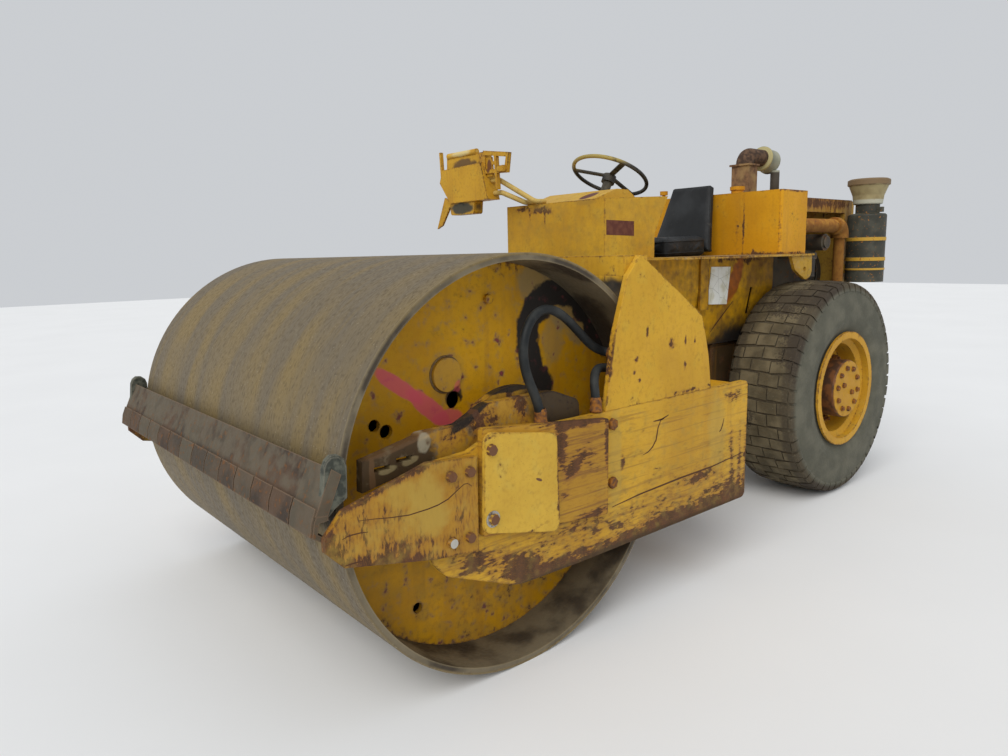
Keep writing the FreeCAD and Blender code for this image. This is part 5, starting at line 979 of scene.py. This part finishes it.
def stuffed(name, outline, thickness, place, cap, lowest):
    """A cushion: a flat shape of that outline, blown up as cloth over foam, then laid
    where place puts it. cap is the most that a point may move."""
    shape = bmesh.new()
    lower = [shape.verts.new((across, along, 0.0)) for across, along in outline]
    shape.faces.new(lower)
    made = bmesh.ops.extrude_face_region(shape, geom=shape.faces[:])
    upper = [item for item in made["geom"] if isinstance(item, bmesh.types.BMVert)]
    bmesh.ops.translate(shape, verts=upper, vec=(0, 0, thickness))
    bmesh.ops.recalc_face_normals(shape, faces=shape.faces)
    bmesh.ops.bevel(shape, geom=shape.edges[:], offset=thickness * 0.24, segments=4, profile=0.6,
                    affect="EDGES")
    mesh = bpy.data.meshes.new(name)
    shape.to_mesh(mesh)
    shape.free()
    piece = bpy.data.objects.new(name, mesh)
    bpy.context.collection.objects.link(piece)
    remesh = piece.modifiers.new("even_mesh", "REMESH")
    remesh.mode = "VOXEL"
    remesh.voxel_size = 0.006
    bpy.context.view_layer.update()
    even = bpy.data.meshes.new_from_object(piece.evaluated_get(bpy.context.evaluated_depsgraph_get()))
    piece.modifiers.clear()
    piece.data = even
    start = [vertex.co.copy() for vertex in even.vertices]
    cloth = piece.modifiers.new("cloth", "CLOTH")
    cloth.settings.use_pressure = True
    cloth.settings.uniform_pressure_force = 4.0
    cloth.settings.effector_weights.gravity = 0.0
    cloth.point_cache.frame_start = 1
    cloth.point_cache.frame_end = 20
    for step in range(1, 21):
        bpy.context.scene.frame_set(step)
    blown = bpy.data.meshes.new_from_object(piece.evaluated_get(bpy.context.evaluated_depsgraph_get()))
    piece.modifiers.clear()
    for vertex, before in zip(blown.vertices, start):
        move = vertex.co - before
        if move.length > cap:
            move *= cap / move.length
        vertex.co = before + move
    piece.data = blown
    bpy.context.scene.frame_set(1)
    piece.data.transform(place)
    for vertex in piece.data.vertices:
        vertex.co.z = max(vertex.co.z, lowest)
    piece.data.materials.clear()
    piece.data.materials.append(vinyl)
    piece.data.polygons.foreach_set("use_smooth", [True] * len(piece.data.polygons))
    piece.data.update()
    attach(piece, "tractor")
    return piece


def welt(name, piece, loop, radius=0.0035):
    """A welt sewn round a cushion: a thin roll laid on its skin near a loop of points."""
    route = []
    for spot_at in loop:
        found, near, normal, _ = piece.closest_point_on_mesh(Vector(spot_at))
        route.append(near + normal * radius * 0.3)
    curve = bpy.data.curves.new(name, "CURVE")
    curve.dimensions = "3D"
    curve.bevel_depth = radius
    curve.bevel_resolution = 2
    curve.resolution_u = 3
    spline = curve.splines.new("NURBS")
    spline.points.add(len(route) - 1)
    for point, spot_at in zip(spline.points, route):
        point.co = tuple(spot_at) + (1.0,)
    spline.use_cyclic_u = True
    spline.order_u = 3
    curve.materials.append(vinyl)
    roll = bpy.data.objects.new(name, curve)
    bpy.context.collection.objects.link(roll)
    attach(roll, "tractor")


def loop_round(outline, height, place, reach=1.02, steps=16):
    """Points along an outline, a little outside it, at a height."""
    loop = []
    count = len(outline)
    for row in range(count):
        start = Vector(outline[row])
        end = Vector(outline[(row + 1) % count])
        for step in range(steps):
            flat = start.lerp(end, (step + 0.5) / steps) * reach
            loop.append(place @ Vector((flat[0], flat[1], height)))
    return loop


CUSHION = ((-0.204, -0.224), (0.204, -0.224), (0.204, 0.224), (-0.204, 0.224))
CUSHION_WALL = 0.104
cushion_place = Matrix.Translation(at(SEAT_FRONT - SEAT_DEPTH / 2, 0, DECK_TOP + 2)) @ Matrix.Rotation(
    math.radians(1.5), 4, "Y")
cushion = stuffed("cushion", CUSHION, CUSHION_WALL, cushion_place, 0.012, at(0, 0, DECK_TOP + 0.4)[2])
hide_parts("seat_cushion")
welt("cushion_welt", cushion, loop_round(CUSHION, CUSHION_WALL - 0.012, cushion_place))
welt("cushion_low_welt", cushion, loop_round(CUSHION, 0.018, cushion_place))
BACK = ((0.012, -0.226), (0.012, 0.226), (0.444, 0.148), (0.444, -0.148))
BACK_WALL = 0.043
BACK_FOOT = 0.0526
back_foot_at = Vector(at(SEAT_FRONT - SEAT_DEPTH, 0, DECK_TOP)) + Vector((-BACK_FOOT + 0.005, 0, 0.003))
back_place = (Matrix.Translation(back_foot_at) @ Matrix.Rotation(math.radians(-17), 4, "Y")
              @ Matrix(((0, 0, 1, 0), (0, 1, 0, 0), (1, 0, 0, 0), (0, 0, 0, 1))))
backrest = stuffed("backrest", BACK, BACK_WALL, back_place, 0.007, at(0, 0, DECK_TOP + 0.4)[2])
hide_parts("seat_backrest")
BACK_MIDDLE = 0.228
BACK_LOOP = tuple((along - BACK_MIDDLE, across) for along, across in BACK)
welt("back_welt", backrest, loop_round(BACK_LOOP, BACK_WALL - 0.008,
                                       back_place @ Matrix.Translation((BACK_MIDDLE, 0, 0)), 1.015))

# Console: a folded sheet box before the driver, faded almost pale, with rust bleeding
# from under its lid. A bare primed square is left on the side where a plate was.
MAROON = (0.115, 0.036, 0.024)
SMUDGE = (0.20, 0.135, 0.045)
console_finish = old_paint("console_paint", (0.58, 0.325, 0.020), 0.05, 0.15, rust=(
    (at(-1102, -250, 1766), (0.05, 0.080, 0.024), 0.95, 0),
    (at(-1102, -110, 1752), (0.05, 0.100, 0.030), 1.00, 0),
    (at(-1102, -20, 1745), (0.05, 0.040, 0.034), 0.80, 0),
    (at(-1102, -180, 1730), (0.05, 0.016, 0.060), 0.70, 0),
    (at(-1102, -60, 1722), (0.05, 0.014, 0.070), 0.70, 0),
    (at(-1102, 200, 1790), (0.05, 0.180, 0.012), 0.55, 0),
    (at(-1102, 368, 1650), (0.03, 0.012, 0.200), 0.25, 0)), marks=(
    # The console's lower part, below the cross beam, is painted near black: painted shade.
    mark(BLACK_MUD_AND_SHADE, at(-1150, 0, 1230), (0.26, 1.50, 0.205), 0, 0.15, 0.08),
    mark(SMUDGE, at(-1102, -80, 1766), (0.03, 0.090, 0.030), 0, 0.9, 0.40, 0.40),
    mark(SMUDGE, at(-1102, 240, 1775), (0.03, 0.100, 0.020), 0, 0.9, 0.40, 0.35)), dust=0.0)
dress("console", console_finish)
primer_finish, tree = new_finish("maroon_primer")
where = piece_place(tree)
blotch = grain(tree, where, 30.0, 5.0)
finished(tree, layered(tree, ramp(tree, blotch, 0.4, 0.66), opaque(MAROON), (0.165, 0.060, 0.034, 1.0)),
         0.75, blotch, 0.0005)
flat_plate("primer_patch", (at(-1114, 373.2, 1680), at(-1114, 373.2, 1606), at(-1328, 373.2, 1601),
                            at(-1328, 373.2, 1676)), 0.0005, primer_finish, "tractor")
dress("dash_cover", old_paint("dash_paint", PAINT_LIGHT, 0.12, 0.25, marks=(
    mark(MAROON, at(-1200, 145, 1832), (0.12, 0.060, 0.05), 0, 0.4, 0.10),), dust=0.4, dust_top=1.2))

# Steering wheel and column: black moulded rim on bent spokes, its top worn to the
# yellow underneath, on a plain black column.
wheel_finish, tree = new_finish("worn_wheel_rim")
where = piece_place(tree)
wear = grain(tree, where, 16.0, 5.0)
lift = node(tree, "SeparateXYZ", {0: where}).outputs[2]
worn = sum_of(tree, ramp(tree, lift, 1.985, 2.020), ramp(tree, wear, 0.30, 0.44), "MULTIPLY")
rim_colour = layered(tree, ramp(tree, wear, 0.4, 0.7), (0.020, 0.019, 0.017, 1.0), (0.075, 0.068, 0.055, 1.0))
finished(tree, layered(tree, worn, rim_colour, (0.34, 0.26, 0.075, 1.0)),
         ramp(tree, wear, 0.3, 0.7, 0.38, 0.7), wear, 0.0006)
dress("steering_wheel", wheel_finish)
black_finish, tree = new_finish("dusty_black")
where = piece_place(tree)
dusty = grain(tree, where, 12.0, 5.0)
finished(tree, layered(tree, ramp(tree, dusty, 0.4, 0.68), (0.022, 0.021, 0.019, 1.0), (0.110, 0.098, 0.075, 1.0)),
         ramp(tree, dusty, 0.3, 0.7, 0.55, 0.9), dusty, 0.001)
dress("steering_column", black_finish)

# Lamp pod on two bars: a yellow sheet trough with a bare inside, a pale tube along
# its top, a bar frame behind it and a dark lamp box below.
pod_finish = old_paint("pod_paint", PAINT, 0.25, 0.35, rust=(
    (at(-974, -430, 2060), (0.10, 0.05, 0.06), 0.5, 0),), marks=(
    mark((0.110, 0.060, 0.026), at(-985, -600, 2040), (0.035, 0.165, 0.050), 0, 0.7, 0.12, 0.9),
    mark((0.110, 0.036, 0.022), at(-974, -362, 2002), (0.060, 0.024, 0.050), 0, 0.4, 0.12, 0.9),
    mark((0.040, 0.045, 0.038), at(-985, -604, 1792), (0.080, 0.150, 0.048), 0, 0.4, 0.12, 0.95),
    mark((0.62, 0.50, 0.22), at(-974, -613, 2101), (0.030, 0.165, 0.022), 0, 0.4, 0.12, 0.9)), dust=0.3)
dress("pod", pod_finish)
dress("pod_arms", old_paint("pod_arm_paint", (0.60, 0.44, 0.13), 0.12, 0.25, dust=0.4))

# Fuel tank: a welded box beside the driver, its seam and its lower edges bled brown.
tank_finish = old_paint("tank_paint", (0.58, 0.275, 0.006), 0.14, 0.30, rust=(
    (at(-2393, 350, 1640), (0.05, 0.012, 0.20), 0.80, 0),
    (at(-2393, 300, 1620), (0.05, 0.030, 0.20), 0.40, 8),
    (at(-2393, 480, 1492), (0.06, 0.30, 0.018), 0.85, 0),
    (at(-2393, 420, 1505), (0.05, 0.016, 0.030), 0.90, 0),
    (at(-2545, 600, 1494), (0.20, 0.05, 0.014), 0.75, 0),
    (at(-2545, 600, 1858), (0.20, 0.05, 0.012), 0.90, 0),
    (at(-2692, 600, 1650), (0.014, 0.05, 0.25), 0.85, 0),
    (at(-2396, 600, 1660), (0.010, 0.02, 0.20), 0.50, 0)), dust=0.12, dust_top=1.3)
dress("fuel_tank", tank_finish)

# Engine bay: an open frame of rusty rails over a plain oily engine, with its pipes,
# a grey generator and a slatted radiator case behind.
rail_finish = old_paint("rail_paint", (0.42, 0.24, 0.035), 0.75, 1.0, rust=(
    (at(-3060, 440, 1815), (0.80, 0.05, 0.050), 0.9, 0),
    (at(-3060, -440, 1815), (0.80, 0.05, 0.050), 0.9, 0)), dust=0.5, lie=(1.8, 1.0, 0.45))
dress("hood", rail_finish)
dress("engine_block", iron_finish)
rusty_pipe, tree = new_finish("orange_rust_pipe")
where = piece_place(tree)
crust = grain(tree, where, 26.0, 6.0)
pipe_colour = layered(tree, ramp(tree, crust, 0.38, 0.60), (0.27, 0.105, 0.018, 1.0), (0.40, 0.190, 0.030, 1.0))
pipe_colour = layered(tree, ramp(tree, grain(tree, where, 60.0, 4.0), 0.60, 0.72), pipe_colour,
                      opaque(RUST_PURPLE))
upright = ramp(tree, node(tree, "SeparateXYZ", {0: where}).outputs[2], 1.690, 1.650)
pipe_colour = layered(tree, sum_of(tree, upright, 0.65, "MULTIPLY"), pipe_colour, (0.150, 0.062, 0.012, 1.0))
finished(tree, pipe_colour, 0.85, crust, 0.002)
dress("engine_pipes", rusty_pipe)
dress("radiator_case", old_paint("radiator_paint", (0.52, 0.31, 0.050), 0.55, 0.6, dust=0.6))

# Exhaust: a rust-brown column, a scorched elbow, and a round muffler in pale paint
# that has gone green, with a yellow end ring.
scorched, tree = new_finish("scorched_steel")
where = piece_place(tree)
crust = grain(tree, where, 34.0, 6.0)
tan = layered(tree, ramp(tree, crust, 0.38, 0.62), (0.225, 0.130, 0.066, 1.0), (0.125, 0.070, 0.040, 1.0))
tan = layered(tree, ramp(tree, grain(tree, where, 8.0, 5.0), 0.50, 0.66), tan, (0.29, 0.19, 0.085, 1.0))
finished(tree, tan, 0.85, crust, 0.002)
dress("exhaust_column", scorched)
elbow_finish, tree = new_finish("dark_elbow")
where = piece_place(tree)
crust = grain(tree, where, 40.0, 6.0)
finished(tree, layered(tree, ramp(tree, crust, 0.40, 0.64), (0.050, 0.030, 0.020, 1.0), (0.125, 0.072, 0.042, 1.0)),
         0.8, crust, 0.002)
dress("exhaust_elbow", elbow_finish)
muffler_finish, tree = new_finish("pale_green_muffler")
where = piece_place(tree)
blotch = grain(tree, where, 11.0, 5.0)
pale = layered(tree, ramp(tree, blotch, 0.38, 0.62), (0.24, 0.25, 0.19, 1.0), (0.31, 0.31, 0.24, 1.0))
along_x = node(tree, "SeparateXYZ", {0: where}).outputs[0]
front_ring = ramp(tree, along_x, at(-3166, 0, 0)[0], at(-3163, 0, 0)[0])
pale = layered(tree, front_ring, pale, (0.40, 0.35, 0.17, 1.0))
below = ramp(tree, node(tree, "SeparateXYZ", {0: where}).outputs[2], 2.060, 2.050)
pale = layered(tree, below, pale, (0.060, 0.050, 0.038, 1.0))
pale = layered(tree, ramp(tree, grain(tree, where, 30.0, 5.0), 0.66, 0.74), pale, opaque(RUST_BROWN))
finished(tree, pale, 0.7, blotch, 0.0015)
MUFFLER_FRONT = at(-3148, 0, 2150)
MUFFLER_LEAN = (-0.985, 0.0, -0.174)
MUFFLER = ((-0.020, 0.0), (-0.020, 0.040), (0.0, 0.040), (0.0, 0.078), (0.004, 0.085), (0.012, 0.086),
           (0.017, 0.080), (0.104, 0.080), (0.109, 0.084), (0.118, 0.084), (0.125, 0.078), (0.132, 0.034),
           (0.185, 0.034), (0.185, 0.030), (0.130, 0.030), (0.130, 0.0))
MUFFLER_POST = ((0.0, 0.0), (0.0, 0.031), (0.222, 0.031), (0.222, 0.0))
can_points, can_faces = lathe(MUFFLER, MUFFLER_FRONT, MUFFLER_LEAN, 56)
grown(can_points, can_faces, *lathe(MUFFLER_POST, at(-3255, 50, 1845.3), (0, 0, 1), 28))
muffler_can = mesh_piece("muffler_can", can_points, can_faces, muffler_finish, "tractor", True)
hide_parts("muffler")

# Air cleaner: a dark green-grey canister held by yellow bands, a rusty clamp on its
# neck, and a bowl with a tan rim on top.
cleaner_finish, tree = new_finish("green_canister")
where = piece_place(tree)
blotch = grain(tree, where, 9.0, 5.0)
scuff = grain(tree, where, 60.0, 4.0)
body = layered(tree, ramp(tree, blotch, 0.40, 0.66), (0.038, 0.038, 0.029, 1.0), (0.076, 0.074, 0.056, 1.0))
out_x = sum_of(tree, node(tree, "SeparateXYZ", {0: where}).outputs[0], -at(-3555, 0, 0)[0])
out_y = sum_of(tree, node(tree, "SeparateXYZ", {0: where}).outputs[1], -0.580)
out_far = node(tree, "Math", {0: sum_of(tree, sum_of(tree, out_x, out_x, "MULTIPLY"),
                                        sum_of(tree, out_y, out_y, "MULTIPLY"))}, operation="SQRT").outputs[0]
on_band = ramp(tree, out_far, 0.1240, 0.1255)
body = layered(tree, on_band, body, (0.50, 0.29, 0.035, 1.0))
body = layered(tree, ramp(tree, scuff, 0.62, 0.70), body, opaque(RUST_ORANGE))
body = layered(tree, sum_of(tree, edges_of(tree, 0.005), 0.7, "MULTIPLY"), body, (0.18, 0.15, 0.09, 1.0))
finished(tree, body, ramp(tree, blotch, 0.3, 0.7, 0.42, 0.7), sum_of(tree, blotch, scuff), 0.0012)
dress("air_cleaner", cleaner_finish)
bowl_finish, tree = new_finish("cream_bowl")
where = piece_place(tree)
high = node(tree, "SeparateXYZ", {0: where}).outputs[2]
blotch = grain(tree, where, 14.0, 5.0)
cream = layered(tree, ramp(tree, blotch, 0.40, 0.66), (0.33, 0.27, 0.135, 1.0), (0.25, 0.195, 0.095, 1.0))
rim_zone = ramp(tree, sum_of(tree, high, ramp(tree, blotch, 0.3, 0.7, -0.006, 0.006)), 1.926, 1.934)
cream = layered(tree, rim_zone, cream, (0.185, 0.125, 0.065, 1.0))
cream = layered(tree, ramp(tree, high, 1.842, 1.832), cream, (0.42, 0.41, 0.32, 1.0))
cream = layered(tree, ramp(tree, grain(tree, where, 45.0, 5.0), 0.66, 0.74), cream, opaque(RUST_ORANGE))
finished(tree, cream, 0.6, blotch, 0.001)
dress("precleaner_bowl", bowl_finish)
